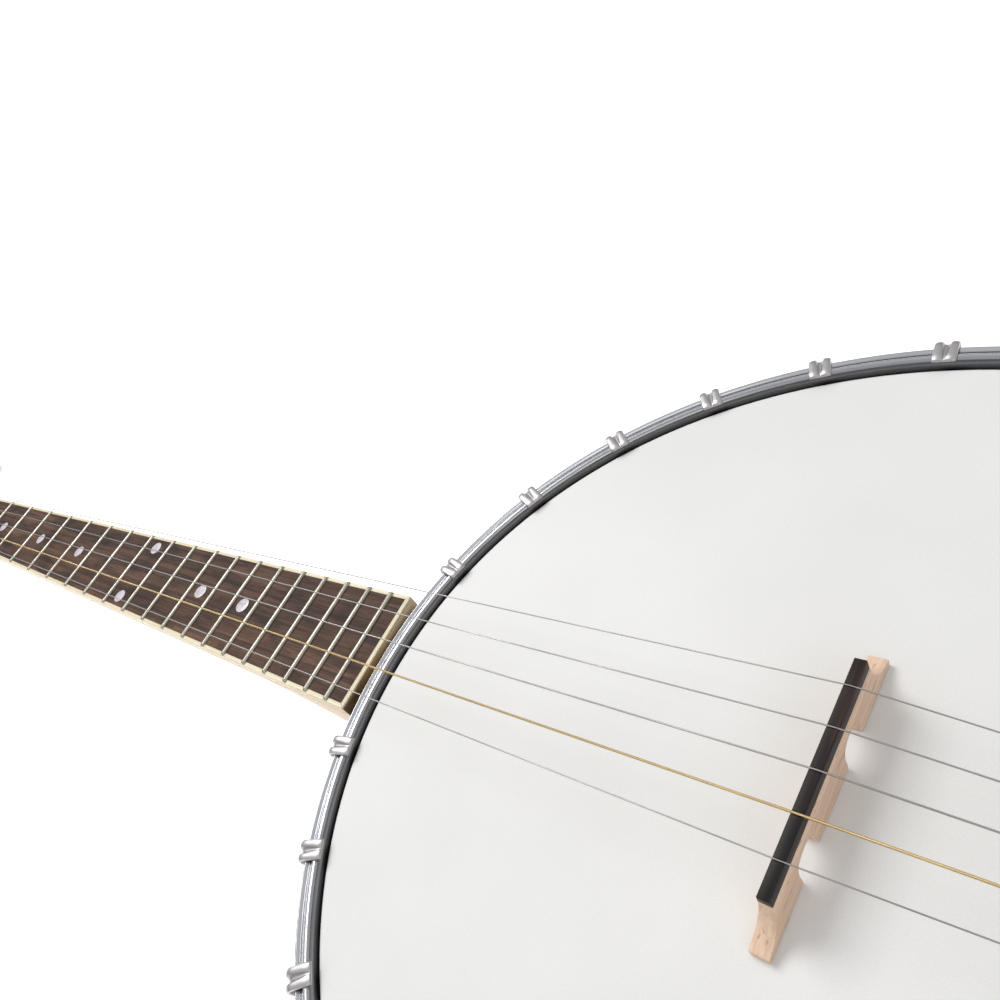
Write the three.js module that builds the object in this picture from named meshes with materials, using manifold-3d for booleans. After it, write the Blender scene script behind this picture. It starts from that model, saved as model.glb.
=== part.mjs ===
// A five-string open-back banjo, lying on its back. Millimetres, +Z up.
// The pot's centre is the design's own origin, with the head's playing surface at z = 0, the neck towards -X
// and the first string towards +Y. The finished group is then moved so that the origin is the middle of the
// underside of its bounding box.
import * as THREE from "three";
import { mergeVertices } from "three/addons/utils/BufferGeometryUtils.js";
import Module from "manifold-3d";

const wasm = await Module();
wasm.setup();

// ---- Driving dimensions -------------------------------------------------------------------------------

const GAP = 0.3; // between pieces that touch on the real object
const ROUND = 72; // facets of the large rings

const HOOP_INNER_R = 137;
const HOOP_OUTER_R = 142.6;
const HOOP_TOP = 2.4;
const HOOP_BOTTOM = -11.5;
const HEAD_THICKNESS = 0.8;
const RIM_OUTER_R = 135.5;
const RIM_INNER_R = 123;
const RIM_TOP = -4.3;
const RIM_BOTTOM = -62;
const TONE_RING_INNER_R = 129.5;

// Places of the brackets on either side, in degrees from the neck's axis.
const TREBLE_BRACKETS = [15.6, 30.6, 44.8, 58.1, 71.6, 85.1, 98.7, 112.3, 125.9, 139.4, 153, 166.6];
const BASS_BRACKETS = [13.6, 27.2, 41.4, 55.3, 69.2, 83.2, 97.1, 111, 124.9, 138.8, 152.7, 166.6];
const HOOK_R = 145.6; // distance of the hook's rod from the pot's axis
const HOOK_ROD_R = 1.9;
const HOOK_WIDTH = 6.4;
const CLAW = { tip: 136.3, end: 146.5, bottom: HOOP_TOP + 0.3, top: 3.9 };

const SCALE_LENGTH = 667;
const NUT_X = -632; // front face of the nut
const FRETS = 22;
const BOARD_END_X = -143.3;
const NUT_HALF_WIDTH = 16.25;
const TAPER = 0.0127; // growth of the board's half width along the neck
const NECK_SLOPE = 0.0103; // rise of the board's top along the neck
const BOARD_TOP_AT_END = 4.5;
const BOARD_THICKNESS = 5;
const BINDING_WIDTH = 1.6;
const FRET_WIDTH = 2;
const FRET_HEIGHT = 1;
const NARROW_EDGE = -12.2; // bass edge of the neck at the nut
const NECK_DEPTH = 15;

const PEGHEAD_LENGTH = 150;
const PEGHEAD_HALF_WIDTH = 36;
const PEGHEAD_THICKNESS = 13;
const PEGHEAD_TILT_DEG = 14;
const OVERLAY_THICKNESS = 1.5;
const POST_R = 3;
const POST_ROWS = [54, 104]; // distance of the tuners from the nut
const POST_SIDE = 20; // distance of the tuners from the peghead's middle line
const PEGHEAD_MIDDLE = 2;

const STRING_R = 0.4;
const STRING_NUT_Y = [15.0, 7.0, -1.0, -9.0];
const STRING_NUT_Z = 2.4;
const NUT_LENGTH = 4.9;
const STRING_BRIDGE_Y = [23.1, 12.6, 2.2, -8.2, -18.7];
const STRING_BRIDGE_Z = 16;
const FIFTH_NUT = { x: -471.5, y: -15.9, z: 5.1 };

const BRIDGE_X = -1.7;
const BRIDGE_YAW_DEG = -1.25;
const BRIDGE_LENGTH = 74.5;
const BRIDGE_TOP_LENGTH = 57.5;
const BRIDGE_FOOT = 4.6;
const BRIDGE_MIDDLE_Y = 1.4;
const STRING_CLEARANCE = 0.4; // under the strings, where the bridge slides

const TAILPIECE_X = 112;
const TAILPIECE_LENGTH = 26;
const TAILPIECE_WIDTH = 46;
const TAILPIECE_Z = 8;

// ---- Helpers ------------------------------------------------------------------------------------------

// A closed geometry as a manifold-3d solid.
function solid(geometry) {
  const bare = new THREE.BufferGeometry();
  const flat = geometry.index ? geometry.toNonIndexed() : geometry;
  bare.setAttribute("position", flat.getAttribute("position").clone());
  const merged = mergeVertices(bare, 1e-4);
  return new wasm.Manifold(
    new wasm.Mesh({
      numProp: 3,
      vertProperties: merged.attributes.position.array,
      triVerts: new Uint32Array(merged.index.array),
    }),
  );
}

// The geometry of a manifold-3d solid.
function surface(body) {
  const mesh = body.getMesh();
  const geometry = new THREE.BufferGeometry();
  geometry.setAttribute("position", new THREE.BufferAttribute(new Float32Array(mesh.vertProperties), 3));
  geometry.setIndex(new THREE.BufferAttribute(new Uint32Array(mesh.triVerts), 1));
  const faceted = geometry.toNonIndexed();
  faceted.computeVertexNormals();
  return faceted;
}

function join(geometries) {
  return surface(geometries.map(solid).reduce((whole, next) => whole.add(next)));
}

function cut(geometry, tools) {
  return surface(tools.map(solid).reduce((whole, tool) => whole.subtract(tool), solid(geometry)));
}

function common(first, second) {
  return surface(solid(first).intersect(solid(second)));
}

function box(low, high) {
  const size = high.map((value, axis) => value - low[axis]);
  const centre = high.map((value, axis) => (value + low[axis]) / 2);
  return new THREE.BoxGeometry(...size).translate(...centre);
}

// A cylinder between two points.
function bar(from, to, radius, sides = 12, endRadius = radius) {
  const start = new THREE.Vector3(...from);
  const end = new THREE.Vector3(...to);
  const along = end.clone().sub(start);
  const geometry = new THREE.CylinderGeometry(endRadius, radius, along.length(), sides);
  const turn = new THREE.Quaternion();
  turn.setFromUnitVectors(new THREE.Vector3(0, 1, 0), along.clone().normalize());
  geometry.applyQuaternion(turn);
  return geometry.translate(...start.add(end).divideScalar(2).toArray());
}

// A ring about +Z, from a closed section of [radius, height] points that runs anticlockwise.
function turned(section, segments = ROUND) {
  const profile = [...section, section[0]].map(([r, z]) => new THREE.Vector2(r, z));
  return new THREE.LatheGeometry(profile, segments).rotateX(Math.PI / 2);
}

function ring(inner, outer, low, high, segments = ROUND) {
  return turned([[inner, low], [outer, low], [outer, high], [inner, high]], segments);
}

function disc(radius, low, high, segments = ROUND) {
  const geometry = new THREE.CylinderGeometry(radius, radius, high - low, segments);
  return geometry.rotateX(Math.PI / 2).translate(0, 0, (low + high) / 2);
}

// An outline in plan, raised from low to high.
function plate(outline, low, high) {
  const shape = outline instanceof THREE.Shape ? outline : shapeOf(outline);
  const options = { depth: high - low, bevelEnabled: false, curveSegments: 10 };
  return new THREE.ExtrudeGeometry(shape, options).translate(0, 0, low);
}

// An outline in the X-Z plane, spread from y = -half to y = half.
function sidePlate(outline, half) {
  const options = { depth: 2 * half, bevelEnabled: false, curveSegments: 8 };
  return new THREE.ExtrudeGeometry(shapeOf(outline), options).rotateX(Math.PI / 2).translate(0, half, 0);
}

function shapeOf(points) {
  return new THREE.Shape(points.map(([x, y]) => new THREE.Vector2(x, y)));
}

// ---- Materials ----------------------------------------------------------------------------------------

function finish(color, roughness, metalness) {
  return { color, roughness, metalness };
}

const CHROME = finish(0xd9dade, 0.15, 1);
const NICKEL = finish(0xc9c4ba, 0.25, 1);
const BRASS = finish(0xb5924c, 0.35, 1);
const FILM = finish(0xebebe7, 0.75, 0);
const MAPLE = finish(0xc9a06a, 0.5, 0);
const PALE_MAPLE = finish(0xdfb896, 0.6, 0);
const ROSEWOOD = finish(0x4a332b, 0.65, 0);
const EBONY = finish(0x2b2729, 0.55, 0);
const IVOROID = finish(0xe6d7ad, 0.45, 0);
const BONE = finish(0xe9e4d6, 0.4, 0);
const PLAIN_STEEL = finish(0xb9b6b1, 0.3, 1);
const BRONZE = finish(0xbd9a5b, 0.4, 1);
const PEARLOID = finish(0xe4e1e4, 0.3, 0);

const banjo = new THREE.Group();

function add(name, geometry, look, parent = banjo) {
  const mesh = new THREE.Mesh(geometry, new THREE.MeshStandardMaterial(look));
  mesh.name = name;
  parent.add(mesh);
  return mesh;
}

// ---- Pot ----------------------------------------------------------------------------------------------

function addPot() {
  add("rim", ring(RIM_INNER_R, RIM_OUTER_R, RIM_BOTTOM, RIM_TOP), MAPLE);
  add("tone_ring", ring(TONE_RING_INNER_R, RIM_OUTER_R, RIM_TOP + GAP, -HEAD_THICKNESS - GAP), BRASS);
  add("head", disc(HOOP_INNER_R - GAP, -HEAD_THICKNESS, 0), FILM);
  add("flesh_hoop", ring(HOOP_INNER_R + GAP, 140.2, -10.5, -6.8), BRASS);
  const section = [
    [HOOP_INNER_R, -6.5],
    [140.5, -6.5],
    [140.5, HOOP_BOTTOM],
    [HOOP_OUTER_R, HOOP_BOTTOM],
    [HOOP_OUTER_R, 1.8],
    [142.2, 2.1],
    [141.5, 2],
    [141, 1.5],
    [140.2, 2],
    [138.8, HOOP_TOP],
    [137.8, 2.2],
    [137.2, 1.6],
    [HOOP_INNER_R, 0.8],
  ];
  add("tension_hoop", turned(section), CHROME);
}

// A hook over the hoop, the shoe on the rim that its rod passes, and the nut below, at angle 0.
function bracket() {
  const claw = box([CLAW.tip, -HOOK_WIDTH / 2, CLAW.bottom], [CLAW.end, HOOK_WIDTH / 2, CLAW.top]);
  const rod = bar([HOOK_R, 0, -50], [HOOK_R, 0, CLAW.bottom + 0.6], HOOK_ROD_R, 10);
  const shoe = box([RIM_OUTER_R + GAP, -5.5, -38], [HOOK_R + 3.6, 5.5, -24]);
  const hexNut = bar([HOOK_R, 0, -46], [HOOK_R, 0, -37.9], 4, 6);
  return join([claw, rod, shoe, hexNut]);
}

function addBrackets() {
  const geometry = bracket();
  let number = 0;
  for (const [side, places] of [[1, TREBLE_BRACKETS], [-1, BASS_BRACKETS]]) {
    for (const place of places) {
      number += 1;
      const angle = 180 - side * place;
      const mesh = add("bracket_" + String(number).padStart(2, "0"), geometry, CHROME);
      mesh.rotation.z = THREE.MathUtils.degToRad(angle);
    }
  }
}

function addCoordinatorRod() {
  const end = RIM_INNER_R - 0.6;
  const z = -33;
  const parts = [
    bar([-end, 0, z], [end, 0, z], 4.5),
    bar([-end, 0, z], [-end + 8, 0, z], 9, 6),
    bar([end - 8, 0, z], [end, 0, z], 9, 6),
  ];
  add("coordinator_rod", join(parts), CHROME);
}

// ---- Neck ---------------------------------------------------------------------------------------------

const NECK_LENGTH = BOARD_END_X - NUT_X;
const BOARD_TOP_AT_NUT = BOARD_TOP_AT_END - NECK_SLOPE * NECK_LENGTH;
const FIFTH_FRET = fretDistance(5);

function fretDistance(number) {
  return SCALE_LENGTH * (1 - 2 ** (-number / 12));
}

function halfWidth(distance) {
  return NUT_HALF_WIDTH + TAPER * distance;
}

// The neck's outline in plan, in the neck's own frame: x is the distance from the nut.
function neckOutline(inset, start, end) {
  const step = 14;
  const points = [
    [start, halfWidth(start) - inset],
    [end, halfWidth(end) - inset],
    [end, inset - halfWidth(end)],
    [FIFTH_FRET - 4, inset - halfWidth(FIFTH_FRET - 4)],
  ];
  const from = [FIFTH_FRET - 4, inset - halfWidth(FIFTH_FRET - 4)];
  const to = [FIFTH_FRET - 4 - step, inset + NARROW_EDGE - 0.6];
  for (let i = 1; i <= 5; i++) {
    const t = i / 5;
    const ease = t * t * (3 - 2 * t);
    points.push([from[0] + (to[0] - from[0]) * t, from[1] + (to[1] - from[1]) * ease]);
  }
  points.push([start, inset + NARROW_EDGE]);
  return points.reverse();
}

// Places a geometry from the banjo's frame into the neck's.
function intoNeckFrame(geometry) {
  return geometry.translate(-NUT_X, 0, -BOARD_TOP_AT_NUT).rotateY(Math.atan(NECK_SLOPE));
}

function addNeck() {
  const slope = new THREE.Group();
  slope.position.set(NUT_X, 0, BOARD_TOP_AT_NUT);
  slope.rotation.y = -Math.atan(NECK_SLOPE);
  banjo.add(slope);

  const under = -BOARD_THICKNESS - GAP;
  const round = new THREE.CylinderGeometry(halfWidth(NECK_LENGTH), NUT_HALF_WIDTH, NECK_LENGTH, 28)
    .rotateZ(-Math.PI / 2)
    .scale(1, 1.02, 0.86)
    .translate(NECK_LENGTH / 2, 0, under);
  const slab = plate(neckOutline(0, -1, NECK_LENGTH), -NECK_DEPTH - 12, under);
  const shaft = common(round, slab);

  const last = NECK_LENGTH;
  const heelProfile = [
    [last - 92, under - 14],
    [last - 60, under - 20],
    [last - 36, under - 34],
    [last - 20, under - 50],
    [last - 6, under - 56],
    [last + 12, under - 56],
    [last + 12, under - 2],
    [last - 92, under - 2],
  ];
  const heel = common(
    sidePlate(heelProfile, 30),
    plate(neckOutline(1.4, last - 95, last + 12), -80, under - 1),
  );

  const peghead = pegheadFrame(plate(pegheadOutline(0), -PEGHEAD_THICKNESS, 0));
  const holes = tunerPlaces().map(([x, y]) => pegheadFrame(bar([x, y, -30], [x, y, 10], POST_R + GAP)));
  const pot = intoNeckFrame(disc(RIM_OUTER_R + 0.4, -100, 40, 144));
  const hoopRoom = intoNeckFrame(disc(HOOP_OUTER_R + 0.4, HOOP_BOTTOM - 2, 40, 144));
  const nutSeat = box([-5.4, -30, under - 0.4], [0.5, 30, 10]);
  add("neck", cut(join([shaft, heel, peghead]), [pot, hoopRoom, nutSeat, ...holes]), MAPLE, slope);

  addFretboard(slope);
  addPegheadTrim(slope);
  tunerPlaces().forEach(([x, y], index) => addTuner(slope, index + 1, x, y));
}

function addFretboard(parent) {
  const boardOutline = neckOutline(BINDING_WIDTH + GAP, 0.6, NECK_LENGTH - BINDING_WIDTH - GAP);
  const parts = [plate(boardOutline, -BOARD_THICKNESS, 0)];
  for (let number = 1; number <= FRETS; number++) {
    const x = fretDistance(number);
    const half = halfWidth(x) - BINDING_WIDTH - GAP - 0.1;
    const low = number < 5 ? NARROW_EDGE + BINDING_WIDTH + GAP + 0.2 : -half;
    parts.push(box([x - FRET_WIDTH / 2, low, -0.5], [x + FRET_WIDTH / 2, half, FRET_HEIGHT]));
  }
  add("fretboard", join(parts), ROSEWOOD, parent);

  const outer = plate(neckOutline(0, 0.6, NECK_LENGTH), -BOARD_THICKNESS, 0);
  const inner = plate(neckOutline(BINDING_WIDTH, -5, NECK_LENGTH - BINDING_WIDTH), -20, 20);
  add("fretboard_binding", cut(outer, [inner]), IVOROID, parent);
}

// ---- Peghead ------------------------------------------------------------------------------------------

const PEGHEAD_START = -5.5;
const PEGHEAD_DROP = -BOARD_THICKNESS - 1.5;

// Places a geometry from the peghead's own frame into the neck's: x runs from the nut along the peghead.
function pegheadFrame(geometry) {
  return geometry
    .rotateY(-THREE.MathUtils.degToRad(PEGHEAD_TILT_DEG))
    .translate(PEGHEAD_START, 0, PEGHEAD_DROP);
}

function pegheadOutline(inset) {
  const middle = PEGHEAD_MIDDLE;
  const wide = PEGHEAD_HALF_WIDTH - inset;
  const end = inset - PEGHEAD_LENGTH;
  const shape = new THREE.Shape();
  shape.moveTo(6, NUT_HALF_WIDTH - inset);
  shape.lineTo(-4, NUT_HALF_WIDTH - inset);
  shape.bezierCurveTo(-16, NUT_HALF_WIDTH - inset, -18, middle + wide, -34, middle + wide);
  shape.bezierCurveTo(-60, middle + wide - 3, -90, middle + wide - 7, -118, middle + wide - 3);
  shape.bezierCurveTo(-134, middle + wide, -136, middle + 20, end + 10, middle + 18);
  shape.quadraticCurveTo(end, middle + 12, end, middle);
  shape.quadraticCurveTo(end, middle - 12, end + 10, middle - 18);
  shape.bezierCurveTo(-136, middle - 20, -134, middle - wide, -118, middle - wide + 3);
  shape.bezierCurveTo(-90, middle - wide + 7, -60, middle - wide + 3, -34, middle - wide);
  shape.bezierCurveTo(-18, middle - wide, -16, NARROW_EDGE + inset, -4, NARROW_EDGE + inset);
  shape.lineTo(6, NARROW_EDGE + inset);
  shape.closePath();
  return shape;
}

// The four string posts, for strings 1 to 4.
function tunerPlaces() {
  const [near, far] = POST_ROWS;
  const high = PEGHEAD_MIDDLE + POST_SIDE;
  const low = PEGHEAD_MIDDLE - POST_SIDE;
  return [[-near, high], [-far, high], [-far, low], [-near, low]];
}

function addPegheadTrim(parent) {
  const face = plate(pegheadOutline(0.4), GAP, GAP + OVERLAY_THICKNESS);
  const holes = tunerPlaces().map(([x, y]) => bar([x, y, -5], [x, y, 5], POST_R + GAP));
  const front = box([-2, -40, -5], [10, 40, 5]);
  add("peghead_overlay", pegheadFrame(cut(face, [...holes, front])), EBONY, parent);

  const cover = new THREE.Shape();
  cover.moveTo(-4, PEGHEAD_MIDDLE + 6);
  cover.lineTo(-4, PEGHEAD_MIDDLE - 6);
  cover.quadraticCurveTo(-24, PEGHEAD_MIDDLE - 7, -30, PEGHEAD_MIDDLE);
  cover.quadraticCurveTo(-24, PEGHEAD_MIDDLE + 7, -4, PEGHEAD_MIDDLE + 6);
  const low = 2 * GAP + OVERLAY_THICKNESS;
  add("truss_rod_cover", pegheadFrame(plate(cover, low, low + 1.6)), PEARLOID, parent);

  const nutTop = STRING_NUT_Z - BOARD_TOP_AT_NUT - STRING_R - GAP;
  const nut = box([-NUT_LENGTH, NARROW_EDGE, -BOARD_THICKNESS - GAP], [0, NUT_HALF_WIDTH, nutTop]);
  add("nut", nut, BONE, parent);
}

// One geared tuner. Its own frame stands on the peghead's back, with the post along z.
function addTuner(parent, number, x, y) {
  const side = y > PEGHEAD_MIDDLE ? 1 : -1;
  const place = (geometry) => pegheadFrame(geometry.translate(x, y, -PEGHEAD_THICKNESS));
  const low = -9.3;
  const wormX = 7.6;
  const wormZ = -5;
  const outer = box([-7.6, -9, low], [12.4, 9, -GAP]);
  const pocket = box([-5.8, -7.2, low + 1.6], [10.6, 7.2, 1]);
  const shaftHole = bar([wormX, side * 5, wormZ], [wormX, side * 12, wormZ], 1.5 + GAP, 10);
  add(`tuner_${number}_housing`, place(cut(outer, [pocket, shaftHole])), NICKEL, parent);

  const rise = PEGHEAD_THICKNESS + OVERLAY_THICKNESS + 14;
  const post = [
    bar([0, 0, -6.8], [0, 0, rise], POST_R),
    bar([0, 0, -6.8], [0, 0, -3.2], 5.2, 14),
  ];
  add(`tuner_${number}_post`, place(join(post)), NICKEL, parent);

  const button = new THREE.SphereGeometry(1, 12, 8).scale(9, 8.5, 3.6).translate(wormX, side * 31, wormZ);
  const knob = [
    bar([wormX, side * -6.6, wormZ], [wormX, side * 6.6, wormZ], 2, 10),
    bar([wormX, side * 6, wormZ], [wormX, side * 27, wormZ], 1.5, 10),
    button,
  ];
  add(`tuner_${number}_button`, place(join(knob)), NICKEL, parent);
}

// ---- Fifth string's nut and peg -----------------------------------------------------------------------

const FIFTH_PEG_X = FIFTH_NUT.x - 26;
const FIFTH_PEG_Z = -6.5;

function addFifthStringParts() {
  const base = BOARD_TOP_AT_END + NECK_SLOPE * (FIFTH_NUT.x - BOARD_END_X) + GAP;
  const top = FIFTH_NUT.z - STRING_R - GAP;
  add("fifth_string_nut", bar([FIFTH_NUT.x, FIFTH_NUT.y, base], [FIFTH_NUT.x, FIFTH_NUT.y, top], 1.9, 12), BONE);

  const side = NARROW_EDGE - 2.6;
  const at = (y) => [FIFTH_PEG_X, y, FIFTH_PEG_Z];
  const bushing = cut(bar(at(side - 5), at(side), 5, 16), [bar(at(side - 8), at(side + 3), 2.3 + GAP)]);
  add("fifth_peg_bushing", bushing, NICKEL);
  const button = new THREE.SphereGeometry(1, 12, 8).scale(9, 8, 3.6);
  const parts = [
    bar(at(side - 9), at(side - 0.4), 2.3),
    bar(at(side - 17), at(side - 5.4), 3.1, 14),
    bar(at(side - 30), at(side - 16), 2),
    button.translate(...at(side - 34)),
  ];
  add("fifth_peg", join(parts), NICKEL);
}

// ---- Bridge, strings and tailpiece --------------------------------------------------------------------

function addBridge() {
  const bridge = new THREE.Group();
  bridge.position.set(BRIDGE_X, BRIDGE_MIDDLE_Y, GAP);
  bridge.rotation.z = THREE.MathUtils.degToRad(BRIDGE_YAW_DEG);
  banjo.add(bridge);

  const top = STRING_BRIDGE_Z - STRING_R - STRING_CLEARANCE - GAP;
  const split = top - 2.4;
  const half = BRIDGE_LENGTH / 2;
  const topHalf = BRIDGE_TOP_LENGTH / 2;
  const gap = 9.5;
  const foot = (BRIDGE_LENGTH - 2 * gap) / 3;
  const shape = new THREE.Shape();
  shape.moveTo(-half, 0);
  shape.lineTo(-half + foot, 0);
  for (const start of [-half + foot, foot / 2]) {
    shape.lineTo(start, 4);
    shape.quadraticCurveTo(start, 8.5, start + gap / 2, 8.5);
    shape.quadraticCurveTo(start + gap, 8.5, start + gap, 4);
    shape.lineTo(start + gap, 0);
    shape.lineTo(start + gap + foot, 0);
  }
  shape.quadraticCurveTo(half - 6, 5, topHalf, split - GAP);
  shape.lineTo(-topHalf, split - GAP);
  shape.quadraticCurveTo(-half + 6, 5, -half, 0);
  const options = { depth: BRIDGE_FOOT, bevelEnabled: false, curveSegments: 6 };
  const outline = new THREE.ExtrudeGeometry(shape, options).rotateX(Math.PI / 2).rotateZ(Math.PI / 2);
  const blank = outline.translate(-BRIDGE_FOOT / 2, 0, 0);
  const taper = [[-2.3, -1], [2.3, -1], [2.3, 2], [1.45, top], [1.45, top + 1], [-1.45, top + 1], [-1.45, top], [-2.3, 2]];
  const base = common(blank, sidePlate(taper, BRIDGE_LENGTH));
  add("bridge_base", base, PALE_MAPLE, bridge);

  const cap = [[-1.6, split], [1.6, split], [1.4, top], [-1.4, top]];
  add("bridge_cap", sidePlate(cap, topHalf), EBONY, bridge);
}

const TAIL_STRING_Z = TAILPIECE_Z + 1.2;

// A string as straight tubes from point to point.
function stringAlong(points) {
  const parts = [];
  for (let i = 1; i < points.length; i++) {
    const from = new THREE.Vector3(...points[i - 1]);
    const to = new THREE.Vector3(...points[i]);
    const over = to.clone().sub(from).normalize().multiplyScalar(0.25);
    if (i < points.length - 1) to.add(over);
    parts.push(bar(from.toArray(), to.toArray(), STRING_R, 6));
  }
  return join(parts);
}

// A point of the peghead's frame in the banjo's.
function pegheadPoint(x, y, z) {
  const point = new THREE.Vector3(x, y, z);
  point.applyAxisAngle(new THREE.Vector3(0, 1, 0), -THREE.MathUtils.degToRad(PEGHEAD_TILT_DEG));
  point.add(new THREE.Vector3(PEGHEAD_START, 0, PEGHEAD_DROP));
  point.applyAxisAngle(new THREE.Vector3(0, 1, 0), -Math.atan(NECK_SLOPE));
  point.add(new THREE.Vector3(NUT_X, 0, BOARD_TOP_AT_NUT));
  return point.toArray();
}

function addStrings() {
  const places = tunerPlaces();
  const yaw = Math.tan(THREE.MathUtils.degToRad(BRIDGE_YAW_DEG));
  STRING_BRIDGE_Y.forEach((bridgeY, index) => {
    const overBridge = [BRIDGE_X - yaw * (bridgeY - BRIDGE_MIDDLE_Y), bridgeY, STRING_BRIDGE_Z];
    const tail = [TAILPIECE_X - GAP, (bridgeY - BRIDGE_MIDDLE_Y) * 0.75, TAIL_STRING_Z];
    const points = [overBridge, tail];
    if (index < 4) {
      const [x, y] = places[index];
      const inward = y > PEGHEAD_MIDDLE ? -1 : 1;
      const beside = POST_R + STRING_R + GAP;
      const height = GAP + OVERLAY_THICKNESS + 7;
      points.unshift([NUT_X - NUT_LENGTH - GAP, STRING_NUT_Y[index], STRING_NUT_Z]);
      points.unshift(pegheadPoint(x, y + inward * beside, height));
    } else {
      points.unshift([FIFTH_NUT.x, FIFTH_NUT.y, FIFTH_NUT.z]);
      points.unshift([FIFTH_PEG_X + 6, FIFTH_NUT.y - 6, FIFTH_PEG_Z + 8.5]);
    }
    add(`string_${index + 1}`, stringAlong(points), index === 3 ? BRONZE : PLAIN_STEEL);
  });
}

function addTailpiece() {
  const half = TAILPIECE_WIDTH / 2;
  const end = TAILPIECE_X + TAILPIECE_LENGTH;
  const body = [[TAILPIECE_X, -half], [end - 6, -half + 5], [end, -half + 12]];
  const mirrored = body.map(([x, y]) => [x, -y]).reverse();
  const parts = [
    plate([...body, ...mirrored], TAILPIECE_Z, TAILPIECE_Z + 2.4),
    box([TAILPIECE_X, -half, TAILPIECE_Z - 4.5], [TAILPIECE_X + 1.6, half, TAILPIECE_Z + 1]),
  ];
  add("tailpiece", join(parts), CHROME);

  const wall = HOOP_OUTER_R + 4;
  const hanger = [
    box([end + GAP, -9, TAILPIECE_Z - 1.8], [wall + 2, 9, TAILPIECE_Z + 2.4]),
    box([wall, -9, -44], [wall + 2, 9, TAILPIECE_Z + 1]),
    bar([RIM_OUTER_R + GAP, 0, -33], [wall + 8, 0, -33], 4),
  ];
  add("tailpiece_hanger", join(hanger), CHROME);
}

// ---- Assembly -----------------------------------------------------------------------------------------

addPot();
addBrackets();
addCoordinatorRod();
addNeck();
addFifthStringParts();
addBridge();
addStrings();
addTailpiece();

const bounds = new THREE.Box3().setFromObject(banjo, true);
const middle = bounds.getCenter(new THREE.Vector3());
banjo.position.set(-middle.x, -middle.y, -bounds.min.z);

export default banjo;
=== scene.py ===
"""The looks of a five-string open-back banjo that lies on its back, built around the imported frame.

Lengths are in metres. The pot's own frame has its origin in the middle of the head's playing surface, with the
neck towards -X and the first string towards +Y. The neck's frame starts at the nut, on the board's top.
"""
import math

import bmesh
import bpy
from mathutils import Euler, Matrix, Vector


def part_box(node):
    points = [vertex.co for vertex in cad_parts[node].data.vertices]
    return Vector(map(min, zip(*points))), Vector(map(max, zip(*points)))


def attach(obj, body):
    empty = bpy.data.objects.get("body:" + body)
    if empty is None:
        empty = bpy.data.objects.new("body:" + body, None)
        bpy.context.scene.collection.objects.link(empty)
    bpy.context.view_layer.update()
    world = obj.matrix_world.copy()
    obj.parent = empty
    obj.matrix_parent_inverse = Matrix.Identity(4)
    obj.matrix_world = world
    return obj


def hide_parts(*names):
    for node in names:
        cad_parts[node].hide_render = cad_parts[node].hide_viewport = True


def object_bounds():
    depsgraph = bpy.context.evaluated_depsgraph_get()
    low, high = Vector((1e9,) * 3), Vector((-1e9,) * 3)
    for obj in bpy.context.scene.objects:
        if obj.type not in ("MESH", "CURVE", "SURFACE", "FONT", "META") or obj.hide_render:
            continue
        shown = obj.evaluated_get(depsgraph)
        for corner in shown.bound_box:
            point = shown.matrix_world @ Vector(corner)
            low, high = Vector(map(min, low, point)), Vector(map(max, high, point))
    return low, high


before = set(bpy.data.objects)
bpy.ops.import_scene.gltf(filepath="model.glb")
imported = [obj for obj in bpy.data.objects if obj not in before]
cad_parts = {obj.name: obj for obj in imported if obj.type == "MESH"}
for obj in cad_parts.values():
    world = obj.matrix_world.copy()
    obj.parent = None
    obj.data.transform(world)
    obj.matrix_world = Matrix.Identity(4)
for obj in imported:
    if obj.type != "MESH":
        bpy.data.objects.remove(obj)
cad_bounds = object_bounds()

# ---- Places from the frame ----

head_low, head_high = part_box("head")
POT = Matrix.Translation(((head_low.x + head_high.x) / 2, (head_low.y + head_high.y) / 2, head_high.z))


def radius_of(node):
    low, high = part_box(node)
    return (high.x - low.x) / 2


def heights_of(node):
    """The lowest and highest z of a node, in the pot's frame."""
    low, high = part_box(node)
    return low.z - head_high.z, high.z - head_high.z


HOOP_OUTER_R = radius_of("tension_hoop")
RIM_OUTER_R = radius_of("rim")
RIM_BOTTOM, RIM_TOP = heights_of("rim")

# ---- Driving dimensions ----

HOOP_INNER_R = .137
HOOP_WALL_R = .1406  # inner face of the wall that hangs below the hoop's shoulder
HOOP_SHOULDER_Z = -.0064
HOOP_BOTTOM = -.0115
HOOP_CREST = (.1389, .0009, .0015)  # radius and height of the arc's centre, and the arc's radius
HOOP_GROOVE = (.1411, .00185, .0006)
HOOP_BEAD = (.1421, .0016, .0005)
RIM_INNER_R = .123
TONE_RING_INNER_R = .1295
HOOK_R = .1456
HOOK_ROD_R = .0019
CLAW_TOP = .0024
CLAW_FOLD_R = .0021
CLAW_WALL_R = .1446
CLAW_CREST = .00115  # thickness of the claw beside its flute
FLUTE_HALF_WIDTH = .0012
FLUTE_START_R = .1369
FLUTE_RUN = .006  # the flute gets wider and deeper over this distance
SHOE_TOP = -.024
SHOE_BOTTOM = -.038

# Places of the brackets on the treble side (1) and the bass side (-1), in degrees from the neck's axis.
BRACKETS = {
    1: (15.6, 30.6, 44.8, 58.1, 71.6, 85.1, 98.7, 112.3, 125.9, 139.4, 153, 166.6),
    -1: (13.6, 27.2, 41.4, 55.3, 69.2, 83.2, 97.1, 111, 124.9, 138.8, 152.7, 166.6),
}

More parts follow.
